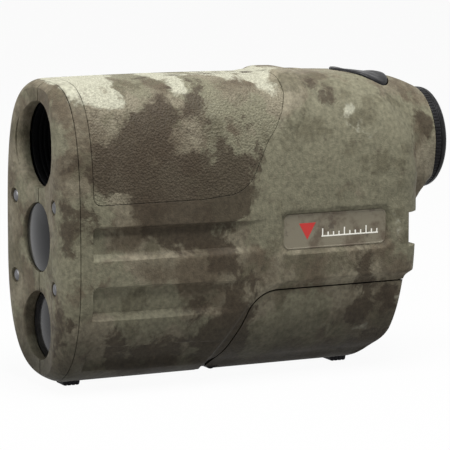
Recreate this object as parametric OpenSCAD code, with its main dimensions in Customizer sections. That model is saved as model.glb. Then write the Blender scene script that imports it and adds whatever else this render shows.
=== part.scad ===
// Hand-held laser rangefinder: view scope on top, laser lens and receiver lens below it,
// 9 V battery in a door pod under the rear half. The front faces -Y and the feet stand on z = 0.

/* [Overall] */
// Length from the front face to the back of the eyecup
overall_l = 107; // [92:0.5:130]
// Width over the flanks
overall_w = 43; // [41:0.5:52]
// Height from the feet to the crest
overall_h = 74.5; // [73:0.5:90]

/* [Body shape] */
// Height of the widest line of the flanks
belly_z = 33; // [30:0.5:36]
// Squareness of the upper cross-section
top_squareness = 3.2; // [2.4:0.1:4]
// Squareness of the lower cross-section
low_squareness = 2.5; // [2.2:0.1:3.5]
// Rounding of the front edge
front_edge_r = 5.5; // [3:0.5:7]
// Rounding of the rear corners, seen from above
rear_edge_r = 8; // [5:0.5:9]
// Wall of the shells and of the door
wall = 1.8; // [1.4:0.1:2.2]
// Length of the nose piece
nose_l = 4.1; // [3.5:0.1:6]
// Hollow of the front face at its middle
front_dish = 1.4; // [0:0.1:2]
// How far the feet stand below the body
foot_h = 1.3; // [0.8:0.1:2]
// Gap along a parting line between fixed pieces
parting_gap = 0.15; // [0.05:0.05:0.3]
// Gap between a moving piece and the piece beside it
moving_gap = 0.35; // [0.3:0.05:0.6]
// Clearance of a sliding or turning fit, on the radius
running_fit = 0.05; // [0.02:0.01:0.1]

/* [Saddle panel] */
// Thickness of the panel laid over the top
saddle_t = 1.3; // [0.8:0.1:1.6]
// Distance of its front edge from the front face
saddle_from_front = 6.9; // [6:0.1:10]
// Height of its straight lower edge
saddle_low_z = 45.4; // [42:0.1:50]

/* [Front optics] */
// Height of the view scope's axis at the objective
objective_z = 58.9; // [58:0.1:62]
// Radius of the objective lens
objective_r = 10; // [9:0.1:10.2]
// Height of the laser lens
transmit_z = 36.5; // [36:0.1:38]
// Height of the receiver lens
receive_z = 15; // [14.5:0.1:16]
// Radius of the two lower openings
window_r = 8.4; // [7.5:0.1:8.6]
// Wall of the optical tubes
tube_wall = 0.9; // [0.6:0.05:1]
// Length of the two lower tubes
tube_l = 27; // [22:0.5:28]
// Half spacing of the nose screws
screw_x = 12.2; // [11:0.1:13]
// Heights of the two screw rows
screw_rows = [25.6, 45.2];

/* [Eyepiece] */
// Height of the eyepiece's axis
eyepiece_z = 55.5; // [55:0.1:58]
// Outer radius of the focus ring
ring_r = 12.75; // [12:0.05:13.2]
// Length of the ring's grip behind the body
ring_l = 3.5; // [3:0.1:6]
// Outer radius of the fixed eyepiece barrel
barrel_r = 10.4; // [9.8:0.1:10.6]
// Turn of the focus ring to each side, in degrees
focus_turn = 90; // [45:5:120]
// Axial travel of the eyepiece per turn of the ring
focus_lead = 6; // [3:0.5:6]

/* [Battery pod] */
// Battery: length, width and height of the 9 V block
battery = [48.5, 26.5, 17.5];
// Distance of the battery's rear end from the back of the object
battery_from_back = 21.5; // [21:0.5:30]
// Height of the battery's underside
battery_z = 8.4; // [8.2:0.1:9]
// Height of the door's upper edge
door_z = 22.5; // [21:0.1:23.5]
// How far the pod is set in from the flanks
pod_inset = 0.8; // [0.4:0.1:1.2]
// Hinge axis: distance from the back of the object
hinge_from_back = 63.1; // [60:0.1:68]
// Hinge axis: height
hinge_z = 3.4; // [3.2:0.1:4]
// Radius of the hinge knuckles
knuckle_r = 1.5; // [1.3:0.05:1.6]
// Radius of the hinge pin
hinge_pin_r = 0.6; // [0.5:0.05:0.8]
// Half length of the hinge
hinge_half_l = 6.8; // [5.5:0.1:7]

/* [Fire button] */
// Distance of the button's middle from the back of the object
button_from_back = 19.5; // [17:0.5:22]
// Length of the button
button_l = 13.5; // [12:0.5:17]
// Half width of the button over the crest
button_half_w = 10; // [7:0.5:11]
// Share of the button's half length that its round end takes
button_round = 0.85; // [0.6:0.05:0.9]
// Travel of the button
button_travel = 0.8; // [0.5:0.1:1]

/* [Hidden] */
$fn = 64;

// Ends of the object, and where the body stops and the focus ring begins
y_front = -overall_l / 2;
y_back = overall_l / 2;
y_rim = y_back - ring_l - 0.3;
y_nose = y_front + nose_l;
body_bottom = foot_h;
half_w = overall_w / 2;
lap = 0.01;

// Stations and points of the lofted body
ring_points = 44;
front_steps = [0, 0.05, 0.18, 0.4, 0.7, 1];
rim_r = ring_r + 0.45;
lower_back_y = y_back - 11.7;
notch_floor_y = y_back - 13.9;
notch_z = [31.2, 39.6];
pocket_depth = 3;
pocket_half_w = 6;
bar_y = notch_floor_y + 1.3;
front_foot_y = y_front + 8.7;
rear_foot_y = y_back - 25.3;
barrel_start_y = y_back - 34;

// Battery, hinge and door
battery_y1 = y_back - battery_from_back;
battery_y0 = battery_y1 - battery[0];
battery_top = battery_z + battery[2];
hinge_y = y_back - hinge_from_back;
door_nose_r = hinge_z - body_bottom + 0.02;
relief_r = door_nose_r + moving_gap;
knuckle_cut_y = hinge_y + knuckle_r + 0.3;
knuckle_relief_r = norm([knuckle_r + 0.3, door_nose_r]) + moving_gap;
frame_z = body_bottom + wall + 1.2;
bay_wall = 1.2;
bay_roof_z = battery_top + 0.3;
door_corner_y = hinge_y + 15;

// Scope
hood_r = objective_r + tube_wall;
hood_y1 = y_nose + 11;
scope_r = hood_r + 0.4;
prism_y0 = y_front + 51;
prism_y1 = prism_y0 + 22;
prism_half_w = 10.5;
prism_low_z = objective_z - 11.9;
prism_high_z = objective_z + 8.1;
barrel_y0 = prism_y1 + 1.2;
barrel_y1 = y_back - 2.3;
barrel_bore = barrel_r - 1.1;
cell_l = 11;
cell_y0 = y_back - 16;
cell_r = barrel_bore - running_fit;
ring_bore = barrel_r + running_fit;
neck_r = ring_bore + 1.1;
neck_l = 6.5;
focus_travel = focus_lead * focus_turn / 360;

// Lower tubes
tube_r = window_r - running_fit;
tube_y0 = y_front + 1.9;
tube_y1 = tube_y0 + tube_l;
receive_y0 = tube_y0 + 1.8;
lens_r = tube_r - tube_wall + 0.35;

// Boards and button
board_z = bay_roof_z + bay_wall + 1.6;
board_t = 1.2;
board_hole_x = 11.5;
board_hole_y0 = battery_y0 + 5;
board_hole_y1 = battery_y1 - 3;
button_y = y_back - button_from_back;
switch_top = crest(button_y) - wall - 0.7;

function clamp01(t) = min(1, max(0, t));
function ease(t) = let (c = clamp01(t)) c * c * (3 - 2 * c);
function mix(a, b, t) = a + (b - a) * t;
function bent(v, p) = abs(v) < 1e-6 ? 0 : sign(v) * pow(abs(v), p);
function round_in(t, r) = t >= r ? 0 : r - sqrt(max(0, r * r - (r - t) * (r - t)));
function arc(c, r, a0, a1, n) =
    [for (i = [0 : n]) let (a = mix(a0, a1, i / n)) [c[0] + r * cos(a), c[1] + r * sin(a)]];

// The crest falls gently towards both ends, and runs down to the eyepiece rim at the back
function barrel_part(y) = clamp01((y - barrel_start_y) / (y_rim - barrel_start_y));
function crest(y) =
    mix(overall_h - 0.00035 * pow(y - y_front - 20, 2), eyepiece_z + rim_r, pow(barrel_part(y), 4));
function half_width(y) = half_w - 0.5 * (1 - ease((y - y_front) / 30));

// A ring of points: superellipse with its own squareness above and below the belly
function ring_at(y, w, top, low, zc, n_top, n_low) = [
    for (i = [0 : ring_points - 1])
        let (a = 360 * i / ring_points, c = cos(a), s = sin(a), n = s >= 0 ? n_top : n_low)
        [w * bent(c, 2 / n), y, zc + (s >= 0 ? top - zc : zc - low) * bent(s, 2 / n)]
];

function trunk_ring(y, inset, narrow) =
    let (front = round_in(y - y_front, front_edge_r),
         back = round_in(lower_back_y + 1 - y, rear_edge_r))
    ring_at(y, half_width(y) - front - back - inset - narrow, crest(y) - front - inset,
            body_bottom + front + inset, belly_z, top_squareness, low_squareness);

// From the body section, a little inside it, to the round eyepiece barrel
function barrel_ring(y, inset) =
    let (t = pow(ease(barrel_part(y)), 1.3), start = 0.2 * (1 - t))
    ring_at(y, mix(half_width(y), rim_r, t) - inset - start, crest(y) - inset - start,
            mix(belly_z - 8, eyepiece_z - rim_r, sqrt(barrel_part(y))) + inset,
            mix(belly_z, eyepiece_z, t), mix(top_squareness, 2, t), mix(low_squareness, 2, t));

// Solid between two rings of points
module between(a, b) {
    hull()
        polyhedron(points = concat(a, b),
                   faces = [[for (i = [0 : len(a) - 1]) i], [for (i = [0 : len(b) - 1]) len(a) + i]]);
}

module loft(rings) {
    for (i = [0 : len(rings) - 2])
        between(rings[i], rings[i + 1]);
}

// Outline given in (Y, Z), drawn right through the width
module side_prism(w = 60) {
    rotate([90, 0, 90])
        linear_extrude(w, center = true)
            children();
}

function front_stations(inset) = [for (k = front_steps) y_front + inset + k * (front_edge_r - inset)];
function back_stations(inset) =
    [for (k = [1, 0.75, 0.5, 0.3, 0.12]) lower_back_y + 1 - inset - k * (rear_edge_r - inset)];

module trunk(inset = 0, narrow = 0) {
    ys = concat(front_stations(inset), [y_front + 12, y_front + 20, y_front + 34, -5, 10, 24],
                back_stations(inset));
    intersection() {
        loft([for (y = ys) trunk_ring(y, inset, narrow)]);
        side_prism()
            rear_outline(inset);
    }
}

// Side view of the trunk's rear: rounded lower corner, leaning pod, block below the groove
module rear_outline(inset = 0) {
    corner_r = 9.8 - inset;
    corner = [y_back - 26, body_bottom + 9.8];
    polygon(concat(
        [[y_front - 5, overall_h + 5], [y_front - 5, -3], [corner[0] - 2, -3],
         [corner[0], corner[1] - corner_r - 0.4]],
        arc(corner, corner_r, -75, 0, 7),
        [[y_back - 14.6 - inset, door_z], [y_back - 12.7 - inset, door_z + 0.3],
         [lower_back_y - inset, notch_z[0]], [lower_back_y + 1 - inset, notch_z[1] + 3],
         [barrel_start_y + 4 - inset, overall_h + 5]]));
}

module barrel(inset = 0) {
    ys = [for (k = [0 : 8]) mix(barrel_start_y, y_rim - (inset > 0 ? -1 : 0), k / 8)];
    loft([for (y = ys) barrel_ring(y, inset)]);
}

module body(inset = 0) {
    trunk(inset);
    barrel(inset);
}

// Lower edge of the saddle panel, then its slanted rear edge over the flank
module saddle_outline(grow = 0) {
    y0 = y_front + saddle_from_front;
    offset(delta = grow)
        polygon(concat(
            [[y0, overall_h + 5]],
            arc([y0 + 2, saddle_low_z + 2], 2, 180, 270, 4),
            [[y0 + 28.6, saddle_low_z], [y0 + 34.2, saddle_low_z + 0.5]],
            arc([y0 + 34.2, saddle_low_z + 9.5], 9, -80, -25, 4),
            [[y0 + 45.9, saddle_low_z + 13.4], [y0 + 50.9, saddle_low_z + 20.5],
             [y0 + 54.3, overall_h + 5]]));
}

// Door outline: up from the hinge, round the corner, then level to the back
module door_outline(grow = 0) {
    offset(delta = grow)
        polygon(concat(
            [[hinge_y, -6]],
            arc([hinge_y, hinge_z], door_nose_r, 270, 200, 5),
            [[hinge_y - 1, hinge_z + 1.4], [hinge_y + 0.7, hinge_z + 4.6],
             [hinge_y + 3.2, hinge_z + 10.5]],
            arc([door_corner_y - 3, door_z - 8], 8, 150, 90, 5),
            [[y_back, door_z], [y_back, -6]]));
}

// Three grooves along each flank, running out towards the rear
module flank_grooves() {
    rows = [[36.4, 3.7, 42], [22.1, 3.6, 35], [8.4, 2.6, 30]];
    for (row = rows, side = [-1, 1])
        hull() {
            translate([side * half_width(0) * groove_reach(row[0]), y_front + 8.8, row[0]])
                rotate([0, 90, 0])
                    cylinder(r = row[1], h = 2.2, center = true, $fn = 24);
            translate([side * (half_width(0) * groove_reach(row[0]) + 1.1), y_front + row[2] + 5, row[0]])
                rotate([0, 90, 0])
                    cylinder(r = row[1], h = 2.2, center = true, $fn = 24);
        }
}

function groove_reach(z) =
    let (d = abs(z - belly_z) / (belly_z - body_bottom)) pow(1 - pow(d, low_squareness), 1 / low_squareness);

// Rounded plate shape for the badges, seen from the side
module badge_outline(grow = 0) {
    offset(r = grow)
        translate([y_back - 36.2, belly_z + 3.2])
            offset(r = 2.5)
                square([23.6, 4.6], center = true);
}

module shell(side) {
    color([0.45, 0.45, 0.38])
        difference() {
            intersection() {
                union() {
                    // floor of the lanyard groove
                    intersection() {
                        body(0.1);
                        union() {
                            translate([-half_w, notch_floor_y - wall, notch_z[0] - wall])
                                cube([overall_w, wall + lap, notch_z[1] - notch_z[0] + 2 * wall]);
                            translate([-pocket_half_w - wall, notch_floor_y - pocket_depth - wall,
                                       notch_z[0] - wall])
                                cube([2 * (pocket_half_w + wall), pocket_depth + wall + lap,
                                      notch_z[1] - notch_z[0] + 2 * wall]);
                        }
                    }
                    difference() {
                        body();
                        body(wall);
                    }
                    // liner under the saddle panel
                    intersection() {
                        difference() {
                            trunk(saddle_t);
                            trunk(saddle_t + wall);
                        }
                        side_prism()
                            saddle_outline(wall);
                    }
                }
                translate([side > 0 ? 0 : -half_w - 5, y_nose + parting_gap, -5])
                    cube([half_w + 5, overall_l, overall_h + 10]);
            }
            // seat of the saddle panel
            difference() {
                side_prism()
                    saddle_outline(parting_gap);
                trunk(saddle_t + parting_gap);
            }
            // room for the door pod and its hinge
            side_prism()
                door_outline(moving_gap);
            translate([0, hinge_y, hinge_z])
                rotate([0, 90, 0]) {
                    cylinder(r = relief_r, h = 2 * hinge_half_l + 18, center = true);
                    cylinder(r = knuckle_relief_r, h = 2 * hinge_half_l + 1.2, center = true);
                }
            flank_grooves();
            // lanyard groove across the rear, deeper behind the bar
            translate([-half_w - 5, notch_floor_y, notch_z[0]])
                cube([overall_w + 10, 20, notch_z[1] - notch_z[0]]);
            translate([-pocket_half_w, notch_floor_y - pocket_depth, notch_z[0]])
                cube([2 * pocket_half_w, 20, notch_z[1] - notch_z[0]]);
            badge_seat(side);
            button_prism(moving_gap);
            // clear way for the focus ring's neck
            translate([0, y_rim - 8, eyepiece_z])
                rotate([-90, 0, 0])
                    cylinder(r = neck_r + 0.3, h = 20);
            foot_seat(front_foot_y);
            along_groove_bar(1.05);
        }
}

module badge_seat(side) {
    translate([side * (half_w - 0.35), 0, 0])
        side_prism(2)
            badge_outline(parting_gap);
}

module foot_seat(y) {
    translate([0, y, body_bottom])
        cube([6.3, 4.7, 1.6], center = true);
}

module along_groove_bar(r) {
    translate([0, bar_y, notch_z[0] - 1.2])
        cylinder(r = r, h = notch_z[1] - notch_z[0] + 2.4);
}

module left_shell() {
    shell(1);
}

module right_shell() {
    shell(-1);
}

// Nose: front plate with the three openings, split along the middle
module nose(side) {
    color([0.47, 0.44, 0.4])
        difference() {
            intersection() {
                trunk();
                translate([side > 0 ? 0 : -half_w - 5, y_front - 1, -5])
                    cube([half_w + 5, nose_l + 1, overall_h + 10]);
            }
            // hollow of the front face
            translate([0, y_front + front_dish - 52, -5])
                cylinder(r = 52, h = overall_h + 10, $fn = 180);
            // objective opening with its flare
            along_y(y_front - 1, objective_z)
                cylinder(r = hood_r - 0.5, h = nose_l + 2);
            along_y(y_front + front_dish - 0.4, objective_z)
                cylinder(r1 = hood_r + 0.7, r2 = hood_r - 0.5, h = 1.6);
            for (z = [transmit_z, receive_z])
                along_y(y_front - 1, z)
                    cylinder(r = window_r, h = nose_l + 2);
            for (z = screw_rows)
                along_y(y_front - 1, z, side * screw_x) {
                    cylinder(r = 1.85, h = 2.9);
                    cylinder(r = 1.1, h = nose_l + 3);
                }
        }
}

module along_y(y, z, x = 0) {
    translate([x, y, z])
        rotate([-90, 0, 0])
            children();
}

module nose_left() {
    nose(1);
}

module nose_right() {
    nose(-1);
}

// Four cross-headed screws through the nose into the shells
module nose_screws() {
    color([0.6, 0.6, 0.62])
        for (side = [-1, 1], z = screw_rows)
            along_y(y_front + 0.75, z, side * screw_x)
                difference() {
                    union() {
                        cylinder(r = 1.6, h = 1.1);
                        cylinder(r = 0.95, h = 7);
                    }
                    for (a = [0, 90])
                        rotate([0, 0, a])
                            translate([-1, -0.2, -0.1])
                                cube([2, 0.4, 0.7]);
                }
}

module saddle_panel() {
    color([0.3, 0.27, 0.23])
        difference() {
            intersection() {
                trunk();
                side_prism()
                    saddle_outline();
            }
            trunk(saddle_t);
        }
}

module badge(side) {
    color([0.4, 0.38, 0.33])
        translate([side * (half_w - 0.85), 0, 0])
            side_prism(0.8)
                badge_outline();
}

module left_badge() {
    badge(1);
}

module right_badge() {
    badge(-1);
}

// Steel bar across the lanyard groove
module lanyard_bar() {
    color("silver")
        along_groove_bar(1);
}

module foot(y) {
    color([0.1, 0.1, 0.1])
        translate([0, y, 0])
            rotate([90, 0, 0])
                linear_extrude(4.4, center = true)
                    polygon([[-2.2, 0], [2.2, 0], [3, body_bottom + 0.7], [-3, body_bottom + 0.7]]);
}

module front_foot() {
    foot(front_foot_y);
}

module rear_foot() {
    foot(rear_foot_y);
}

// Teardrop outline of the fire button, seen from above: a narrow tip in front, round behind
module button_outline(grow = 0) {
    half_l = button_l / 2;
    offset(delta = grow)
        polygon(concat(
            [[-0.8, button_y - half_l], [0.8, button_y - half_l],
             [button_half_w * 0.55, button_y - half_l * 0.5]],
            [for (i = [0 : 10])
                let (a = -25 + 115 * i / 10)
                [button_half_w * cos(a), button_y + half_l * (1 - button_round + button_round * sin(a))]],
            [for (i = [10 : -1 : 0])
                let (a = -25 + 115 * i / 10)
                [-button_half_w * cos(a), button_y + half_l * (1 - button_round + button_round * sin(a))]],
            [[-button_half_w * 0.55, button_y - half_l * 0.5]]));
}

module button_prism(grow = 0) {
    translate([0, 0, eyepiece_z + 8])
        linear_extrude(overall_h)
            button_outline(grow);
}

// Curved cap that follows the crest, with a stem down to the switch
module fire_button() {
    color([0.08, 0.08, 0.08]) {
        intersection() {
            difference() {
                barrel(-0.3);
                barrel(1.2);
            }
            button_prism();
        }
        translate([0, button_y, switch_top + 0.05])
            cylinder(r = 1.5, h = crest(button_y) - 0.8 - switch_top);
    }
}

module switch_plunger() {
    color("red")
        translate([0, button_y, switch_top - 1.2])
            cylinder(r = 1.6, h = 1.2);
}

module switch_body() {
    color([0.15, 0.15, 0.15])
        difference() {
            translate([-3, button_y - 3, switch_top - 3.1])
                cube([6, 6, 2.6]);
            translate([0, button_y, switch_top - 1.3 - button_travel])
                cylinder(r = 1.6 + running_fit, h = 4);
        }
}

module switch_board() {
    color("green")
        translate([-5, button_y - 6, switch_top - 3.9])
            cube([10, 12, 0.8]);
}

// Door cover: the skin of the pod, with the latch tongue inside its rear wall
module battery_door() {
    color([0.36, 0.35, 0.29])
        union() {
            difference() {
                intersection() {
                    difference() {
                        trunk(0, pod_inset);
                        trunk(wall, pod_inset);
                    }
                    side_prism()
                        door_outline();
                }
                translate([-hinge_half_l - 0.3, hinge_y - 5, -5])
                    cube([2 * hinge_half_l + 0.6, knuckle_cut_y - hinge_y + 5, hinge_z + 6]);
                foot_seat(rear_foot_y);
            }
            translate([-4, battery_y1 + 1.8, 14])
                cube([8, 3.6, 5]);
            translate([-2.8, battery_y1 + 1.8, 14])
                cube([5.6, 1.2, door_z - 14 + 1.1]);
            translate([-2.8, battery_y1 + 1.35, door_z + 0.1])
                cube([5.6, 1, 1]);
        }
}

// Frame inside the door: hinge knuckles, floor and ribs under the battery pad
module door_frame() {
    color([0.2, 0.2, 0.2])
        difference() {
            union() {
                translate([-hinge_half_l, hinge_y + 2.2, frame_z])
                    cube([2 * hinge_half_l, battery_y1 - 5 - hinge_y - 2.2, 1.2]);
                for (x = [-5, 0, 5])
                    translate([x - 0.6, hinge_y + 4, frame_z + 1])
                        cube([1.2, battery_y1 - 7 - hinge_y - 4, battery_z - 1.3 - frame_z - 1]);
                for (side = [-1, 1])
                    translate([side * (hinge_half_l + 2.6) / 2, 0, 0]) {
                        translate([0, hinge_y, hinge_z])
                            rotate([0, 90, 0])
                                cylinder(r = knuckle_r, h = hinge_half_l - 2.6, center = true);
                        translate([-(hinge_half_l - 2.6) / 2, hinge_y, frame_z])
                            cube([hinge_half_l - 2.6, 3, 1.2]);
                    }
            }
            translate([0, hinge_y, hinge_z])
                rotate([0, 90, 0])
                    cylinder(r = hinge_pin_r + running_fit, h = 40, center = true);
        }
}

module battery_pad() {
    color([0.25, 0.25, 0.25])
        translate([-8.5, hinge_y + 5, battery_z - 1.3])
            cube([17, battery_y1 - 7 - hinge_y - 5, 1]);
}

module hinge_pin() {
    color("silver")
        translate([0, hinge_y, hinge_z])
            rotate([0, 90, 0])
                cylinder(r = hinge_pin_r, h = 2 * hinge_half_l, center = true);
}

// Bay that holds the battery from above, with the fixed hinge knuckle in front
module battery_bay() {
    w = battery[1] / 2 + 0.25;
    y0 = battery_y0 - 3.2;
    y1 = battery_y1 + 0.3;
    ear_x = half_w * groove_reach(bay_roof_z) - wall - 0.3;
    color([0.18, 0.18, 0.18])
        difference() {
            union() {
                translate([-w - bay_wall, battery_y0 + 1.9, bay_roof_z])
                    cube([2 * (w + bay_wall), y1 + bay_wall - battery_y0 - 1.9, bay_wall]);
                for (side = [-1, 1]) {
                    translate([side > 0 ? w : -w - bay_wall, battery_y0 + 1.9, 14])
                        cube([bay_wall, y1 + bay_wall - battery_y0 - 1.9, bay_roof_z - 14]);
                    for (y = [battery_y0 + 4, battery_y1 - 8])
                        translate([side > 0 ? w : -ear_x, y, bay_roof_z])
                            cube([ear_x - w, 4, bay_wall]);
                    for (y = [board_hole_y0, board_hole_y1])
                        translate([side * board_hole_x, y, bay_roof_z])
                            cylinder(r = 2, h = board_z - bay_roof_z, $fn = 48);
                }
                // rear wall with the window for the latch
                translate([-w - bay_wall, y1, 14])
                    cube([2 * (w + bay_wall), bay_wall, bay_roof_z - 14]);
                // front wall and floor
                translate([-9, y0 - bay_wall, battery_z - 2.2])
                    cube([18, bay_wall, bay_roof_z + bay_wall - battery_z + 2.2]);
                translate([-9, y0 - bay_wall, bay_roof_z])
                    cube([18, 8, bay_wall]);
                translate([-9, y0 - bay_wall, battery_z - 2.2])
                    cube([18, hinge_y + 1 - y0 + bay_wall, bay_wall]);
                translate([-2.3, hinge_y - knuckle_r, hinge_z])
                    cube([4.6, 2 * knuckle_r, battery_z - 1.6 - hinge_z]);
                translate([0, hinge_y, hinge_z])
                    rotate([0, 90, 0])
                        cylinder(r = knuckle_r, h = 4.6, center = true);
            }
            translate([0, hinge_y, hinge_z])
                rotate([0, 90, 0])
                    cylinder(r = hinge_pin_r, h = 40, center = true);
            translate([-3.4, y1 - 1, door_z - 0.5])
                cube([6.8, 4, 2.2]);
            for (side = [-1, 1], y = [board_hole_y0, board_hole_y1])
                translate([side * board_hole_x, y, bay_roof_z + 0.4])
                    cylinder(r = 0.8, h = 10, $fn = 48);
            for (side = [-1, 1])
                translate([side * 6.35, battery_y0 - 1.2, bay_roof_z - 1])
                    cylinder(r = 1.4, h = 4);
        }
}

// 9 V block, terminals to the front
module battery_9v() {
    color([0.55, 0.45, 0.2])
        translate([0, 0, battery_z + battery[2] / 2]) {
            along_y(battery_y0 + 2.3, 0)
                linear_extrude(battery[0] - 2.3)
                    offset(r = 2)
                        square([battery[1] - 4, battery[2] - 4], center = true);
            along_y(battery_y0, 0, 6.35)
                cylinder(r = 2.8, h = 2.5);
            along_y(battery_y0, 0, -6.35)
                cylinder(r = 3.6, h = 2.5);
        }
}

module snap_connector() {
    color([0.1, 0.1, 0.1])
        translate([0, 0, battery_z + battery[2] / 2])
            difference() {
                translate([-11.5, battery_y0 - 2.7, -5.5])
                    cube([23, 4.2, 11]);
                along_y(battery_y0 - 0.5, 0, 6.35)
                    cylinder(r = 3.1, h = 5);
                along_y(battery_y0 - 0.5, 0, -6.35)
                    cylinder(r = 3.9, h = 5);
            }
}

// Two short leads from the snap connector up to the main board
module battery_leads() {
    top = battery_z + battery[2] / 2 + 5.5;
    color("red")
        for (side = [-1, 1])
            translate([side * 6.35, battery_y0 - 1.2, top])
                cylinder(r = 0.6, h = board_z - top, $fn = 32);
}

module main_board() {
    color("green")
        difference() {
            translate([-15, battery_y0 - 2.5, board_z])
                cube([30, battery_y1 + 1.5 - battery_y0 + 2.5, board_t]);
            for (side = [-1, 1], y = [board_hole_y0, board_hole_y1])
                translate([side * board_hole_x, y, board_z - 1])
                    cylinder(r = 0.9, h = 4, $fn = 48);
        }
}

module board_screws() {
    color("silver")
        for (side = [-1, 1], y = [board_hole_y0, board_hole_y1])
            translate([side * board_hole_x, y, board_z + board_t]) {
                cylinder(r = 1.5, h = 0.9, $fn = 48);
                translate([0, 0, -3.2])
                    cylinder(r = 0.75, h = 3.2 + lap, $fn = 48);
            }
}

module board_chips() {
    chips = [[3, -6, 10, 10, 1.4], [3, 8, 12, 9, 1.6], [8, 22, 5, 6, 1.2], [-3, 26, 6, 4, 1.2],
             [-2, -12, 5, 4, 1.2], [2, 18, 4, 3, 2]];
    color([0.12, 0.12, 0.12])
        for (c = chips)
            translate([c[0] - c[2] / 2, battery_y0 + 16.5 + c[1] - c[3] / 2, board_z + board_t])
                cube([c[2], c[3], c[4]]);
}

module storage_capacitor() {
    color([0.15, 0.2, 0.4])
        along_y(battery_y0 + 13, board_z + board_t + 4, -9)
            cylinder(r = 4, h = 20);
}

// Tube about the Y axis
module tube(y, z, l, r, bore) {
    along_y(y, z)
        difference() {
            cylinder(r = r, h = l);
            translate([0, 0, -1])
                cylinder(r = bore, h = l + 2);
        }
}

// Lens with one or two domed faces, edge thickness t, sag s0 in front and s1 behind
module lens(y, z, r, t, s0, s1) {
    r0 = (r * r + s0 * s0) / (2 * s0);
    r1 = s1 > 0 ? (r * r + s1 * s1) / (2 * s1) : 0;
    along_y(y, z)
        intersection() {
            translate([0, 0, -s0])
                cylinder(r = r, h = t + s0 + s1);
            translate([0, 0, r0 - s0])
                sphere(r = r0, $fn = 128);
            if (s1 > 0)
                translate([0, 0, t + s1 - r1])
                    sphere(r = r1, $fn = 128);
        }
}

// Light baffle in front of the objective
module objective_hood() {
    color([0.05, 0.05, 0.05])
        along_y(y_nose + parting_gap, objective_z)
            difference() {
                cylinder(r = hood_r, h = hood_y1 - y_nose - parting_gap);
                translate([0, 0, -1])
                    cylinder(r = objective_r + 0.2, h = 20);
                for (k = [1 : 8])
                    translate([0, 0, 1.2 * k])
                        cylinder(r = objective_r + 0.5, h = 0.6);
            }
}

module objective_cell() {
    color([0.1, 0.1, 0.1])
        along_y(hood_y1 + lap, objective_z)
            difference() {
                cylinder(r = hood_r, h = 8);
                translate([0, 0, -1])
                    cylinder(r = objective_r + running_fit, h = 7);
                cylinder(r = objective_r - 0.8, h = 10);
            }
}

module objective_retainer() {
    color([0.2, 0.2, 0.2])
        tube(hood_y1 + 0.1, objective_z, 0.8, objective_r, objective_r - 0.9);
}

module objective_lens() {
    color([0.5, 0.6, 0.7, 0.5])
        lens(hood_y1 + 2.6, objective_z, objective_r, 2.2, 1.5, 1);
}

// Scope body: main tube and prism housing in one piece
module scope_body() {
    color([0.2, 0.2, 0.22])
        difference() {
            union() {
                along_y(y_nose + parting_gap, objective_z)
                    cylinder(r = scope_r, h = prism_y0 - y_nose - parting_gap + 0.5);
                translate([-prism_half_w - 1.2, prism_y0, prism_low_z])
                    cube([2 * prism_half_w + 2.4, prism_y1 - prism_y0, prism_high_z - prism_low_z]);
            }
            along_y(y_nose - 1, objective_z)
                cylinder(r = hood_r + running_fit, h = prism_y0 - y_nose - 1);
            along_y(prism_y0 - 3, objective_z - 3)
                cylinder(r = 7.5, h = 5);
            translate([-prism_half_w, prism_y0 + 1.2, prism_low_z + 1.2])
                cube([2 * prism_half_w, prism_y1 - prism_y0 - 2.4, prism_high_z - prism_low_z - 2.4]);
            along_y(prism_y1 - 3, eyepiece_z)
                cylinder(r = 6.5, h = 5);
        }
}

// The two blocks of the erecting prism, with a thin air gap between them
module prism_block(points) {
    color([0.7, 0.8, 0.85, 0.5])
        side_prism(2 * prism_half_w - 1)
            translate([prism_y0, prism_low_z + 1.2])
                polygon(points);
}

module front_prism() {
    prism_block([[1.6, 0], [1.6, 15.4], [8, 15.4], [10.4, 0]]);
}

module roof_prism() {
    prism_block([[8.4, 15.4], [19.8, 15.4], [20.4, 5], [17, 0], [10.8, 0]]);
}

// Spring plate that holds the prisms down
module prism_clip() {
    color("silver")
        translate([-prism_half_w + 0.4, prism_y0 + 2, prism_low_z + 16.7])
            cube([2 * prism_half_w - 0.8, prism_y1 - prism_y0 - 4, 0.8]);
}

// Display in the image plane, with its frame
module display_glass() {
    color([0.6, 0.7, 0.7, 0.5])
        translate([-7, prism_y1 + 0.15, eyepiece_z - 5.5])
            cube([14, 0.9, 11]);
}

module display_frame() {
    color([0.12, 0.12, 0.12])
        difference() {
            translate([-9.5, prism_y1 + lap, eyepiece_z - 7.5])
                cube([19, 1.18, 15]);
            translate([-7.05, prism_y1 - 1, eyepiece_z - 5.55])
                cube([14.1, 4, 11.1]);
        }
}

module eyepiece_barrel() {
    color([0.15, 0.15, 0.15])
        difference() {
            union() {
                tube(barrel_y0, eyepiece_z, barrel_y1 - barrel_y0, barrel_r, barrel_bore);
                tube(barrel_y0, eyepiece_z, 2, barrel_r, barrel_bore - 1.2);
            }
            // groove of the snap ring, and the slot that guides the pin
            along_y(barrel_y1 - 0.8, eyepiece_z)
                difference() {
                    cylinder(r = barrel_r + 1, h = 0.55);
                    translate([0, 0, -1])
                        cylinder(r = barrel_r - 0.45, h = 3);
                }
            translate([-0.85, cell_y0 + cell_l - 2.2 - focus_travel - 0.9, eyepiece_z])
                cube([1.7, 2 * focus_travel + 1.8, 20]);
        }
}

module field_lens() {
    color([0.6, 0.7, 0.75, 0.5])
        lens(barrel_y0 + 3.5, eyepiece_z, barrel_bore - running_fit, 1.6, 1.3, 0);
}

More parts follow.
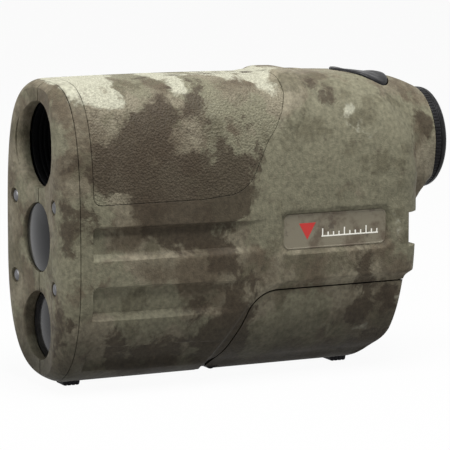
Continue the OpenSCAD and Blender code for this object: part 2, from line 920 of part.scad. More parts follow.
// Sliding cell of the eye lens
module eyepiece_cell() {
    color([0.1, 0.1, 0.1])
        difference() {
            along_y(cell_y0, eyepiece_z)
                difference() {
                    cylinder(r = cell_r, h = cell_l);
                    translate([0, 0, -1])
                        cylinder(r = cell_r - 1.6, h = 20);
                    translate([0, 0, 4])
                        cylinder(r = cell_r - 0.85, h = 20);
                }
            translate([0, cell_y0 + cell_l - 2.2, eyepiece_z])
                cylinder(r = 0.7, h = 20);
        }
}

module eye_lens() {
    color([0.6, 0.7, 0.75, 0.5])
        lens(cell_y0 + 5.5, eyepiece_z, cell_r - 0.9, 2.4, 1.2, 0);
}

// Pin that leads the cell along the barrel's slot
module focus_pin() {
    color("silver")
        translate([0, cell_y0 + cell_l - 2.2, eyepiece_z + cell_r - 0.8])
            cylinder(r = 0.7, h = ring_bore + 0.5 - cell_r + 0.7);
}

// Turning ring: neck on the barrel, grip behind the body
module focus_ring() {
    y_neck = y_rim + 0.3 - neck_l;
    color([0.07, 0.07, 0.07])
        along_y(y_neck, eyepiece_z)
            difference() {
                union() {
                    cylinder(r = neck_r, h = neck_l + 0.5);
                    translate([0, 0, neck_l])
                        cylinder(r = ring_r, h = ring_l - 0.3);
                }
                translate([0, 0, -1])
                    cylinder(r = ring_bore, h = 30);
                // relief for the pin's path, and seat of the snap ring
                translate([0, 0, cell_y0 + cell_l - 2.2 - focus_travel - 0.9 - y_neck])
                    cylinder(r = ring_bore + 0.65, h = 2 * focus_travel + 1.8);
                translate([0, 0, barrel_y1 - 0.9 - y_neck])
                    cylinder(r = barrel_r + 1.2, h = 10);
            }
}

module snap_ring() {
    color("silver")
        tube(barrel_y1 - 0.75, eyepiece_z, 0.45, barrel_r + 0.85, barrel_r - 0.4);
}

// Soft rim of the eyepiece
module eyecup() {
    color([0.05, 0.05, 0.05])
        along_y(y_back, eyepiece_z)
            difference() {
                union() {
                    translate([0, 0, -1.8])
                        cylinder(r = barrel_r + 1.15, h = 1.8);
                    translate([0, 0, -0.29])
                        cylinder(r = ring_r - 0.4, h = 0.29);
                }
                translate([0, 0, -3])
                    cylinder(r = cell_r - 1.2, h = 6);
                translate([0, 0, -1.2])
                    cylinder(r1 = cell_r - 1.2, r2 = cell_r + 1.6, h = 1.21);
            }
}

// Tube with a lens seat in front, standing in its opening of the nose
module lens_tube(y) {
    difference() {
        cylinder(r = tube_r, h = tube_l);
        translate([0, 0, -1])
            cylinder(r = tube_r - tube_wall - 0.35, h = tube_l + 2);
        translate([0, 0, -1])
            cylinder(r = lens_r + running_fit, h = 4);
    }
}

module transmit_tube() {
    color([0.08, 0.08, 0.08])
        along_y(tube_y0, transmit_z)
            lens_tube();
}

module receive_tube() {
    color([0.08, 0.08, 0.08])
        along_y(receive_y0, receive_z)
            lens_tube();
}

module transmit_lens() {
    color([0.5, 0.5, 0.55, 0.6])
        lens(tube_y0 + 0.8, transmit_z, lens_r, 2.1, 1, 0);
}

module receive_lens() {
    color([0.5, 0.5, 0.55, 0.6])
        lens(receive_y0 + 0.8, receive_z, lens_r, 2.1, 1, 0);
}

// Narrow-band filter in front of the detector
module band_filter() {
    color([0.4, 0.1, 0.2, 0.6])
        along_y(receive_y0 + tube_l - 8, receive_z)
            cylinder(r = tube_r - tube_wall - 0.35 - running_fit, h = 1.1);
}

// Metal can with a cap and a base flange, window to the front
module can(y, z, r, l) {
    along_y(y - l, z) {
        cylinder(r = r, h = l - 1);
        translate([0, 0, l - 1])
            cylinder(r = r + 0.8, h = 1);
    }
}

module laser_diode() {
    color("gold")
        can(tube_y1 + 0.1, transmit_z, 2.4, 4);
}

module detector() {
    color("silver")
        can(receive_y0 + tube_l + 0.1, receive_z, 3.4, 4);
}

module round_board(y, z) {
    color("green")
        along_y(y, z)
            cylinder(r = tube_r, h = 1);
}

module laser_board() {
    round_board(tube_y1 + 0.1, transmit_z);
}

module detector_board() {
    round_board(receive_y0 + tube_l + 0.1, receive_z);
}

left_shell();
right_shell();
nose_left();
nose_right();
nose_screws();
saddle_panel();
left_badge();
right_badge();
lanyard_bar();
front_foot();
battery_door();
door_frame();
battery_pad();
rear_foot();
hinge_pin();
objective_hood();
objective_cell();
objective_lens();
objective_retainer();
scope_body();
front_prism();
roof_prism();
prism_clip();
display_glass();
display_frame();
eyepiece_barrel();
field_lens();
eyepiece_cell();
eye_lens();
focus_pin();
focus_ring();
eyecup();
snap_ring();
transmit_tube();
transmit_lens();
laser_diode();
laser_board();
receive_tube();
receive_lens();
band_filter();
detector();
detector_board();
main_board();
board_chips();
storage_capacitor();
board_screws();
battery_bay();
battery_9v();
snap_connector();
battery_leads();
switch_board();
switch_body();
switch_plunger();
fire_button();
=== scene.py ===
# Hand-held laser rangefinder: rubber armour with a mottled pattern over a moulded body.
# The frame gives the working parts; the outer pieces are remade here as fine meshes.
import math
import bmesh
import bpy
import numpy as np
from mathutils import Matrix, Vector


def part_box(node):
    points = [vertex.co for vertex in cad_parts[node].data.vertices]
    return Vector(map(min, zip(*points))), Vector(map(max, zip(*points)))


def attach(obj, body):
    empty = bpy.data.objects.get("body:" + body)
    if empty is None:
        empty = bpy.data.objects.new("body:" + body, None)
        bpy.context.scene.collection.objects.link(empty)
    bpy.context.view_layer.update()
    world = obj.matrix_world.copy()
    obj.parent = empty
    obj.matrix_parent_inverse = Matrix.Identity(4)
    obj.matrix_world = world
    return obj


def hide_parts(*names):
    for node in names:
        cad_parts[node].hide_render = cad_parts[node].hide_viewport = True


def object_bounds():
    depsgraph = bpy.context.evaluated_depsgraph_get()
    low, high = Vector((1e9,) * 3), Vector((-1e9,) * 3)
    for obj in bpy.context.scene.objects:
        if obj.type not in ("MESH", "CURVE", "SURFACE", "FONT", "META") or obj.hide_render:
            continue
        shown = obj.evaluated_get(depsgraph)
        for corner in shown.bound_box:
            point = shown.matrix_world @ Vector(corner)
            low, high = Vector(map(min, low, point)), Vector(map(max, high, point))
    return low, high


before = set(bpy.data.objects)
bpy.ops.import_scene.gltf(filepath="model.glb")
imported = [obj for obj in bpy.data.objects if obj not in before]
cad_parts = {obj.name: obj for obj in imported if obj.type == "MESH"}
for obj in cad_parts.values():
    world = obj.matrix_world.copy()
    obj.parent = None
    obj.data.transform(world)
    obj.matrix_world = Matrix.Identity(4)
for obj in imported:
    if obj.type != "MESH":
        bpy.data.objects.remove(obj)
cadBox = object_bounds()
mm = 0.001  # everything below is in millimetres until it becomes a mesh
coarse = 1  # trial runs take every second grid line
print("frame loaded:", len(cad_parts), "nodes")

frontY = cadBox[0].y / mm
backY = cadBox[1].y / mm
topZ = cadBox[1].z / mm
halfWidth = cadBox[1].x / mm

# The body: a squarish tube that runs out into a round eyepiece barrel
body = {
    "bottom": 1.3, "belly": 33, "upperSquareness": 3.3, "lowerSquareness": 2.5,
    "frontRound": 5.5, "rearRound": 8, "rearEnd": backY - 10.7,
    "barrelStart": backY - 34, "rim": backY - 3.8, "rimRadius": 13.2, "eyepieceZ": 55.5,
    "nose": frontY + 3.5, "gap": 0.15, "doorGap": 0.32,
    "wall": 1.8, "seat": 1.45, "liner": 3.1,  # depths of the inside, the saddle's seat and its liner
}
# The lanyard groove across the rear: its floor in the middle and beside it, and the pocket round the bar
notch = {"floor": backY - 13.9, "side": backY - 15.6, "middle": 7.5, "low": 31.2, "high": 39.6,
         "pocket": 3, "pocketHalf": 6, "barRadius": 1.05, "barY": backY - 12.6}
hinge = {"y": backY - 63.1, "z": 3.4, "halfLength": 6.8, "relief": 2.47, "knuckleRelief": 3.13}


# Arithmetic on arrays
def clamp(t, low=0.0, high=1.0):
    return np.clip(t, low, high)


def ease(t):
    t = clamp(t)
    return t * t * (3 - 2 * t)


def mix(a, b, t):
    return a + (b - a) * t


def ramp(t):
    return mix(clamp(t), ease(t), 0.35)


def smoothMin(a, b, k):
    h = clamp(0.5 + 0.5 * (b - a) / k)
    return b + (a - b) * h - k * h * (1 - h)


def smoothMax(a, b, k):
    return -smoothMin(-a, -b, k)


def roundIn(t, radius):
    t = clamp(t, 0, radius)
    return radius - np.sqrt(radius ** 2 - (radius - t) ** 2)


def arcPoints(centre, radius, start, end, steps):
    angles = np.radians(np.linspace(start, end, steps + 1))
    return [(centre[0] + radius * math.cos(a), centre[1] + radius * math.sin(a)) for a in angles]


# The shape of the body as a distance, negative inside
def barrelPart(y):
    return clamp((y - body["barrelStart"]) / (body["rim"] - body["barrelStart"]))


def crestAt(y):
    gentle = topZ - 0.00035 * (y - frontY - 20) ** 2 + 0.55 * ease((y - 2) / 5)
    return mix(gentle, body["eyepieceZ"] + body["rimRadius"], barrelPart(y) ** 4)


def halfWidthAt(y):
    return halfWidth - 0.5 * (1 - ease((y - frontY) / 30))


def squareDistance(x, z, width, top, low, middle, upper, lower):
    rise = z - middle
    above = rise >= 0
    power = np.where(above, upper, lower)
    height = np.where(above, top - middle, middle - low)
    reach = (np.abs(x / width) ** power + np.abs(rise / height) ** power) ** (1 / power)
    return np.hypot(x, rise) * (1 - 1 / np.maximum(reach, 1e-4))


# Side view of the rear end, read as the rearmost y at each height
rearSide = (
    [(body["rearEnd"] - 15.3 + 9.8 * math.cos(math.radians(a)), 11.1 + 9.8 * math.sin(math.radians(a)))
     for a in range(-89, 1, 6)]
    + [(backY - 14.6, 22.4), (backY - 14.0, 22.8), (backY - 12.6, 25.4), (backY - 11.75, 31.2),
       (backY - 11.2, 39), (backY - 8.8, 42), (backY - 7.2, 44.5), (backY - 6.6, 47), (backY - 9, 52),
       (backY - 30, 79.5)]
)


def rearLimit(z):
    return np.interp(z, [p[1] for p in rearSide], [p[0] for p in rearSide])


def bodyDistance(x, y, z):
    front = roundIn(y - frontY, body["frontRound"])
    front = np.where(y - frontY > body["frontRound"], 0, front)
    back = roundIn(body["rearEnd"] - y, body["rearRound"])
    back = np.where(body["rearEnd"] - y > body["rearRound"], 0, back)
    width = halfWidthAt(y) - front - back
    trunk = squareDistance(x, z, width, crestAt(y) - front, body["bottom"] + front, body["belly"],
                           body["upperSquareness"], body["lowerSquareness"])
    rear = (y - rearLimit(z)) * 0.94
    trunk = smoothMax(trunk, rear, mix(1.6, 9, ease((z - 44) / 10)))
    part = barrelPart(y)
    t = ease(part) ** 1.3
    tuck = 0.2 * (1 - t)
    barrel = squareDistance(
        x, z, mix(halfWidthAt(y), body["rimRadius"], t) - tuck, crestAt(y) - tuck,
        mix(body["belly"] - 8, body["eyepieceZ"] - body["rimRadius"], np.sqrt(part)),
        mix(body["belly"], body["eyepieceZ"], t), mix(body["upperSquareness"], 2, t),
        mix(body["lowerSquareness"], 2, t))
    blend = ease((y - body["barrelStart"] - 4) / 12) * ease((z - 39) / 9)
    joined = smoothMin(trunk, barrel, mix(0.05, 7, blend))
    return np.where(y > body["barrelStart"], joined, trunk)


# Outlines seen from the side, as (y, z) points
def grow(outline, amount):
    points = np.array(outline, float)
    before = points - np.roll(points, 1, 0)
    after = np.roll(points, -1, 0) - points
    before /= np.linalg.norm(before, axis=1)[:, None]
    after /= np.linalg.norm(after, axis=1)[:, None]
    normal = np.stack([before[:, 1] + after[:, 1], -before[:, 0] - after[:, 0]], 1)
    length = np.linalg.norm(normal, axis=1)
    normal /= length[:, None]
    area = np.sum(points[:, 0] * np.roll(points[:, 1], -1) - points[:, 1] * np.roll(points[:, 0], -1))
    return points + normal * (amount * np.sign(area) * 2 / np.maximum(length, 0.6))[:, None]


saddleY = frontY + 6.9
saddleRear = ([(saddleY + 34.2, 46.8)] + arcPoints((saddleY + 34.2, 55.8), 9, -80, -25, 14)
              + [(saddleY + 45.9, 58.8), (saddleY + 48.7, 62.3), (saddleY + 50.9, 65.9),
                 (saddleY + 52.6, 70), (saddleY + 54.3, 80)])
saddleLine = ([(saddleY, 80)] + arcPoints((saddleY + 2, 48.3), 2, 180, 270, 8)
              + [(saddleY + 28.6, 46.3)] + saddleRear)
doorTop = 22.5
doorLine = ([(hinge["y"], -6)] + arcPoints((hinge["y"], hinge["z"]), 2.12, 270, 200, 8)
            + [(hinge["y"] - 1, 4.8), (hinge["y"] - 0.2, 6.4), (hinge["y"] + 0.7, 8),
               (hinge["y"] + 1.9, 11), (hinge["y"] + 3.3, 14)]
            + arcPoints((hinge["y"] + 12, 14.5), 8, 155, 90, 16)
            + [(backY, doorTop), (backY, -6)])
ledgeLine = [(-14.6, -4), (-13.8, 4), (-12.5, 8.3), (-11.0, 11.5), (-9.2, 14.8), (-6.5, 19.2),
             (-4.0, 22.1), (-0.3, 24.1), (3.8, 24.8), (9, 24.9), (60, 24.9)]
badge = {"y": backY - 36.0, "z": 36.7, "halfLength": 15.1, "halfHeight": 5.4, "corner": 2.6,
         "bevel": 0.9, "depth": 1.0}
grooves = [  # z at the front and rear of the upper and lower edge, where the groove fades out
    {"top": (41.1, 40.4), "low": (33.0, 32.5), "fade": (-16, 1), "depth": 1.6},
    {"top": (26.9, 25.9), "low": (18.5, 17.9), "fade": (-20, -5), "depth": 1.6},
    {"top": (11.9, 10.9), "low": (5.4, 4.4), "fade": (-25, -10), "depth": 1.6},
]
grooveForm = {"front": frontY + 6.6, "bevel": 0.5, "lowerBevel": 1.5, "corner": 1.6}


def sideDistance(y, z, line):
    # distance to the line, positive on its right as it runs
    best = np.full(y.shape, 1e9)
    sign = np.ones(y.shape)
    for (ay, az), (by, bz) in zip(line[:-1], line[1:]):
        ey, ez = by - ay, bz - az
        t = clamp(((y - ay) * ey + (z - az) * ez) / (ey * ey + ez * ez))
        dy, dz = y - ay - t * ey, z - az - t * ez
        d = np.hypot(dy, dz)
        near = d < best - 1e-9
        best = np.where(near, d, best)
        sign = np.where(near, np.where(ey * dz - ez * dy < 0, 1.0, -1.0), sign)
    return best * sign


def badgeDistance(y, z, shrink=0.0):
    corner = badge["corner"] - shrink
    ay = np.abs(y - badge["y"]) - (badge["halfLength"] - badge["corner"])
    az = np.abs(z - badge["z"]) - (badge["halfHeight"] - badge["corner"])
    return np.hypot(np.maximum(ay, 0), np.maximum(az, 0)) + np.minimum(np.maximum(ay, az), 0) - corner


def skinDepth(y, z, flank):
    # how far the surface is pressed in at a place on the side
    depth = np.zeros(y.shape)
    for groove in grooves:
        run = clamp((y - grooveForm["front"]) / 40)
        above = mix(*groove["top"], run) - z
        below = (z - mix(*groove["low"], run)) * grooveForm["bevel"] / grooveForm["lowerBevel"]
        corner = grooveForm["corner"]
        end = corner - y + grooveForm["front"]
        inside = corner - np.hypot(np.maximum(corner - above, 0), np.maximum(end, 0))
        inside = smoothMin(inside, below, 0.15) / grooveForm["bevel"]
        fade = 1 - ease((y - groove["fade"][0]) / (groove["fade"][1] - groove["fade"][0]))
        depth += groove["depth"] * ramp(inside) * fade
    below = sideDistance(y, z, ledgeLine)
    depth += 1.25 * ramp(below / 1.6) + 0.15 * ease(below / 0.4)
    inset = clamp(-badgeDistance(y, z) / badge["bevel"])
    depth += badge["depth"] * inset
    ridge = y - np.interp(z, [p[1] for p in saddleRear], [p[0] for p in saddleRear])
    swell = ease(ridge / 1.6) * (1 - ease((ridge - 5.2) / 2.2))
    flankDepth = depth * ease((flank - 0.12) / 0.4)
    return flankDepth - 0.7 * swell * ease((z - 58) / 9)


# Meshes
def makeObject(name, points, faces):
    mesh = bpy.data.meshes.new(name)
    mesh.from_pydata((np.asarray(points, float) * mm).tolist(), [], [list(f) for f in faces])
    mesh.update()
    made = bpy.data.objects.new(name, mesh)
    bpy.context.scene.collection.objects.link(made)
    return made


def gridFaces(rows, columns, closed):
    across = columns if closed else columns - 1
    i, j = np.meshgrid(np.arange(rows - 1), np.arange(across), indexing="ij")
    k = (j + 1) % columns
    return np.stack([i * columns + j, i * columns + k, (i + 1) * columns + k, (i + 1) * columns + j],
                    -1).reshape(-1, 4)


def closedTube(name, grid):
    # rings of points, closed by a fan at each end
    rows, columns = grid.shape[:2]
    points = np.concatenate([grid.reshape(-1, 3), [grid[0].mean(0), grid[-1].mean(0)]])
    faces = [tuple(f) for f in gridFaces(rows, columns, True)]
    first, last = rows * columns, rows * columns + 1
    for j in range(columns):
        k = (j + 1) % columns
        faces.append((first, k, j))
        faces.append((last, (rows - 1) * columns + j, (rows - 1) * columns + k))
    made = makeObject(name, points, faces)
    tidyNormals(made)
    return made


def tidyNormals(thing):
    worked = bmesh.new()
    worked.from_mesh(thing.data)
    bmesh.ops.recalc_face_normals(worked, faces=worked.faces)
    worked.to_mesh(thing.data)
    worked.free()


def spaced(start, end, spacing, dense):
    # stations from start to end, closer together round the dense places (place, half width, spacing)
    fine = np.linspace(start, end, 4000)
    density = np.full(fine.shape, 1 / spacing)
    for place, reach, close in dense:
        density = np.maximum(density, (1 / close) * np.exp(-(((fine - place) / reach) ** 4)))
    total = np.concatenate([[0], np.cumsum((density[1:] + density[:-1]) / 2 * np.diff(fine))])
    count = max(8, int(round(total[-1])))
    return np.interp(np.linspace(0, total[-1], count + 1), total, fine)


def castSkin(stations, halfAngles, inset):
    # rays from a line inside the body out to its surface
    angles = np.concatenate([halfAngles, math.pi - halfAngles[-2:0:-1]])
    y, angle = np.meshgrid(stations, angles, indexing="ij")
    middle = np.interp(y, [15, 40, 43.2, body["rim"]], [36, 41.5, 46.5, body["eyepieceZ"]])
    inner = np.zeros(y.shape)
    outer = np.full(y.shape, 60.0)
    for _ in range(26):
        reach = (inner + outer) / 2
        outside = bodyDistance(reach * np.cos(angle), y, middle + reach * np.sin(angle)) > -inset
        outer = np.where(outside, reach, outer)
        inner = np.where(outside, inner, reach)
    reach = (inner + outer) / 2
    return np.stack([reach * np.cos(angle), y, middle + reach * np.sin(angle)], -1)


def surfaceNormals(grid):
    around = np.roll(grid, -1, 1) - np.roll(grid, 1, 1)
    along = np.gradient(grid, axis=0)
    normal = np.cross(around, along)
    normal /= np.maximum(np.linalg.norm(normal, axis=2, keepdims=True), 1e-9)
    outward = np.sum(normal * (grid - grid.mean(1, keepdims=True)) * [1, 0, 1], axis=(0, 1, 2))
    return normal if outward > 0 else -normal


def levelAngle(z):
    return math.atan2(z - 36, 21.3)


def pressed(grid):
    normal = surfaceNormals(grid)
    flank = np.hypot(normal[..., 0], np.maximum(normal[..., 1], 0))
    depth = skinDepth(grid[..., 1], grid[..., 2], flank)
    return grid - normal * depth[..., None]


def skinGrids():
    edges = [40.8, 33.4, 26.5, 18.8, 11.5, 5.4, 24.3, 22.6, 41.0, 31.4, 46.6]
    rows = spaced(-math.pi / 2, math.pi / 2, 0.021 * coarse,
                  [(levelAngle(z), 0.028, 0.0095 * coarse) for z in edges])
    stations = spaced(frontY, body["rim"], 0.55 * coarse,
                      [(frontY + 1, 3, 0.2 * coarse), (grooveForm["front"] + 0.4, 1.2, 0.2 * coarse),
                       (39.6, 4, 0.14 * coarse), (body["rim"] - 0.5, 1.2, 0.25 * coarse)])
    outer = castSkin(stations, rows, 0)
    coreRows = np.linspace(-math.pi / 2, math.pi / 2, 61)
    coreStations = spaced(frontY + 2.4, backY - 1.5, 2, [(39, 4, 0.4)])
    insets = (body["wall"], body["seat"], body["liner"])
    return pressed(outer), {inset: castSkin(coreStations, coreRows, inset) for inset in insets}


def combine(thing, tool, operation="DIFFERENCE", keepTool=False):
    modifier = thing.modifiers.new("combine", "BOOLEAN")
    modifier.operation = operation
    modifier.solver = "MANIFOLD"
    modifier.object = tool
    graph = bpy.context.evaluated_depsgraph_get()
    mesh = bpy.data.meshes.new_from_object(thing.evaluated_get(graph))
    thing.modifiers.clear()
    old = thing.data
    thing.data = mesh
    bpy.data.meshes.remove(old)
    if not keepTool:
        discard(tool)
    return thing


def discard(thing):
    mesh = thing.data
    bpy.data.objects.remove(thing)
    if mesh.users == 0:
        bpy.data.meshes.remove(mesh)


def duplicate(thing, name, mirror=False):
    made = bpy.data.objects.new(name, thing.data.copy())
    bpy.context.scene.collection.objects.link(made)
    if mirror:
        made.data.transform(((-1, 0, 0, 0), (0, 1, 0, 0), (0, 0, 1, 0), (0, 0, 0, 1)))
        made.data.flip_normals()
    return made


def sidePrism(outline, low=-40, high=40):
    # an outline in (y, z) drawn through the width
    points = np.array(outline, float)
    count = len(points)
    ends = [np.column_stack([np.full(count, x), points]) for x in (low, high)]
    faces = [tuple(range(count)), tuple(range(2 * count - 1, count - 1, -1))]
    faces += [(i, (i + 1) % count, count + (i + 1) % count, count + i) for i in range(count)]
    made = makeObject("prism", np.concatenate(ends), faces)
    tidyNormals(made)
    return made


def block(low, high):
    outline = [(low[1], low[2]), (high[1], low[2]), (high[1], high[2]), (low[1], high[2])]
    return sidePrism(outline, low[0], high[0])


def turned(name, profile, centre=(0, 0), segments=144, ripple=None, axis="y"):
    # a closed (along, radius) profile turned about an axis
    # ripple(along, radius, angle) adds to the radius
    profile = np.array(profile, float)
    angles = np.linspace(0, 2 * math.pi, segments, endpoint=False)
    along, angle = np.meshgrid(profile[:, 0], angles, indexing="ij")
    radius = np.repeat(profile[:, 1:2], segments, 1)
    if ripple:
        radius = radius + ripple(along, radius, angle)
    across, up = radius * np.cos(angle), radius * np.sin(angle)
    if axis == "y":
        grid = np.stack([across + centre[0], along, up + centre[1]], -1)
    elif axis == "x":
        grid = np.stack([along, across + centre[0], up + centre[1]], -1)
    else:
        grid = np.stack([across + centre[0], up + centre[1], along], -1)
    grid = np.concatenate([grid, grid[:1]])
    made = makeObject(name, grid.reshape(-1, 3), gridFaces(len(grid), segments, True))
    worked = bmesh.new()
    worked.from_mesh(made.data)
    bmesh.ops.remove_doubles(worked, verts=worked.verts, dist=1e-6)
    bmesh.ops.dissolve_degenerate(worked, edges=worked.edges, dist=1e-7)
    bmesh.ops.recalc_face_normals(worked, faces=worked.faces)
    worked.to_mesh(made.data)
    worked.free()
    return made


def rounded(profile, radius, steps=4):
    # rounds the corners of a closed profile; radius is one number or one for each corner
    points = [Vector(p) for p in profile]
    radii = radius if isinstance(radius, (list, tuple)) else [radius] * len(points)
    result = []
    for i, corner in enumerate(points):
        back = points[i - 1] - corner
        forth = points[(i + 1) % len(points)] - corner
        cut = min(radii[i], back.length * 0.49, forth.length * 0.49)
        if cut < 1e-4 or corner.y < 1e-6:
            result.append(tuple(corner))
            continue
        start, end = corner + back.normalized() * cut, corner + forth.normalized() * cut
        for k in range(steps + 1):
            t = k / steps
            result.append(tuple(start * (1 - t) ** 2 + corner * 2 * t * (1 - t) + end * t * t))
    return result


def smoothShade(thing, angle=32):
    thing.data.shade_smooth()
    thing.data.set_sharp_from_angle(angle=math.radians(angle))
    return thing


# Materials
def tint(red, green, blue):
    # screen colour to the linear values that a shader takes
    def straight(c):
        c /= 255
        return c / 12.92 if c <= 0.04045 else ((c + 0.055) / 1.055) ** 2.4
    return (straight(red), straight(green), straight(blue), 1)


class Amount:
    # a socket that can stand in a sum
    def __init__(self, finish, socket):
        self.finish = finish
        self.socket = socket

    def maths(self, operation, *values, **settings):
        return self.finish.add("ShaderNodeMath", {"operation": operation, **settings}, list(values))

    def __add__(self, other):
        return self.maths("ADD", self, other)

    def __sub__(self, other):
        return self.maths("SUBTRACT", self, other)

    def __rsub__(self, other):
        return self.maths("SUBTRACT", other, self)

    def __mul__(self, other):
        return self.maths("MULTIPLY", self, other)

    def __truediv__(self, other):
        return self.maths("DIVIDE", self, other)

    def __rtruediv__(self, other):
        return self.maths("DIVIDE", other, self)

    def __abs__(self):
        return self.maths("ABSOLUTE", self)

    def atLeast(self, other):
        return self.maths("MAXIMUM", self, other)

    def clamped(self):
        return self.maths("ADD", self, 0.0, use_clamp=True)

    __radd__ = __add__
    __rmul__ = __mul__


class Wiring:
    # nodes of one tree, each made by add
    def __init__(self, tree):
        self.tree = tree

    def add(self, kind, settings=None, inputs=None, output=0):
        node = self.tree.nodes.new(kind)
        for key, value in (settings or {}).items():
            setattr(node, key, value)
        pairs = inputs.items() if isinstance(inputs, dict) else enumerate(inputs or [])
        for key, value in pairs:
            if isinstance(value, Amount):
                self.tree.links.new(value.socket, node.inputs[key])
            else:
                node.inputs[key].default_value = value
        return Amount(self, node.outputs[output])


class Finish(Wiring):
    # a material and the ways to build one up
    def __init__(self, name, **constants):
        self.material = bpy.data.materials.new(name)
        self.material.use_nodes = True
        super().__init__(self.material.node_tree)
        self.shader = self.tree.nodes["Principled BSDF"]
        for key, value in constants.items():
            self.shader.inputs[key.replace("_", " ")].default_value = value
        self.place = self.add("ShaderNodeTexCoord", output="Object")

    def step(self, value, low, high):
        # 0 below low, 1 above high
        return self.add("ShaderNodeMapRange", {"interpolation_type": "SMOOTHSTEP"},
                        {"Value": value, "From Min": low, "From Max": high}, "Result")

    def blend(self, a, b, mask, mode="MIX"):
        settings = {"data_type": "RGBA", "blend_type": mode}
        return self.add("ShaderNodeMix", settings, {0: mask, 6: a, 7: b}, 2)

    def spread(self, value, low, high, start=0.3, end=0.7):
        # value from start to end becomes low to high
        return self.add("ShaderNodeMapRange", {}, {
            "Value": value, "From Min": start, "From Max": end, "To Min": low, "To Max": high}, "Result")

    def noise(self, size, detail=3, roughness=0.5, shift=0.0, where=None, distortion=0.0):
        # size is the size of a blotch in millimetres
        moved = self.vector("ADD", where or self.place, (shift, shift * 0.7, -shift * 0.4))
        return self.add("ShaderNodeTexNoise", {}, {
            "Vector": moved, "Scale": 1000 / size, "Detail": detail, "Roughness": roughness,
            "Distortion": distortion}, "Fac")

    def vector(self, operation, a, b):
        return self.add("ShaderNodeVectorMath", {"operation": operation}, [a, b])

    def grain(self, size, shift=0.0, smooth=0.4):
        return self.add("ShaderNodeTexVoronoi", {"feature": "SMOOTH_F1"}, {
            "Vector": self.vector("ADD", self.place, (shift, shift, shift)),
            "Scale": 1000 / size, "Smoothness": smooth}, "Distance")

    def apart(self):
        return [self.add("ShaderNodeSeparateXYZ", {}, [self.place], name) for name in "XYZ"]

    def near(self, y, z, reach, strength):
        # a soft hill round a place on either flank
        flat = self.vector("MULTIPLY", self.place, (0.25, 1, 1))
        settings = {"operation": "DISTANCE"}
        away = self.add("ShaderNodeVectorMath", settings, [flat, (0, y * mm, z * mm)], "Value")
        return ((1 - away / (reach * mm)) * 1.8).clamped() * strength

    def bump(self, height, depth, strength=1.0, after=None):
        # depth in millimetres for a height of 1
        inputs = {"Height": height, "Distance": depth * mm, "Strength": strength}
        if after:
            inputs["Normal"] = after
        return self.add("ShaderNodeBump", {}, inputs, "Normal")

    def edge(self, radius, samples=6):
        return self.add("ShaderNodeBevel", {"samples": samples}, {"Radius": radius * mm}, "Normal")

    def link(self, **inputs):
        for key, value in inputs.items():
            self.tree.links.new(value.socket, self.shader.inputs[key.replace("_", " ")])
        return self.material


# Colours of the mottled pattern and of a painted shade for the lower body, and where its larger patches lie
# on the flanks
mottle = {
    "sage": tint(106, 103, 86), "moss": tint(81, 77, 62), "earth": tint(81, 73, 60),
    # the dark colour here is painted shade laid over the lower body, not a colour of the armour
    "paintedUnderShade": tint(40, 36, 29), "fleck": tint(70, 62, 52), "drift": 0.007,
    "bark": tint(58, 50, 40), "khaki": tint(164, 163, 146), "stone": tint(114, 108, 92),
    # dark patches: partly the pattern's own dark blotches, partly painted shade over the grooves and the low
    # flank
    "darkPatchesAndShade": [(-32, 56, 17, 0.17), (-14, 50, 14, 0.16), (-44, 50, 9, 0.12), (-30, 42, 14, 0.19),
                    (-16, 36, 13, 0.18), (-10, 27, 11, 0.17), (-9, 10, 12, 0.14), (-32, 5, 14, 0.14),
                    (25, 15, 6, 0.24), (-37, 62, 8, 0.08), (46, 60, 6, 0.1), (31, 5, 8, 0.16),
                    (-20, 20, 7, 0.1), (-8, 63, 7, 0.12), (26, 27, 9, 0.1)],
    "greenPatches": [(-40, 31, 8, 0.16), (-33, 20, 11, 0.16), (-46, 36, 6, 0.1), (20, 50, 24, 0.18),
                     (0, 42, 8, 0.16), (10, 14, 12, 0.14), (2, 58, 8, 0.12)],
    "palePatches": [(-41, 72, 11, 0.27), (-22, 72, 7, 0.16), (-11, 68, 9, 0.18),
                    (-1, 74, 9, 0.2), (6, 70, 9, 0.16), (-46, 20, 7, 0.08), (-22, 62, 5, 0.12)],
}


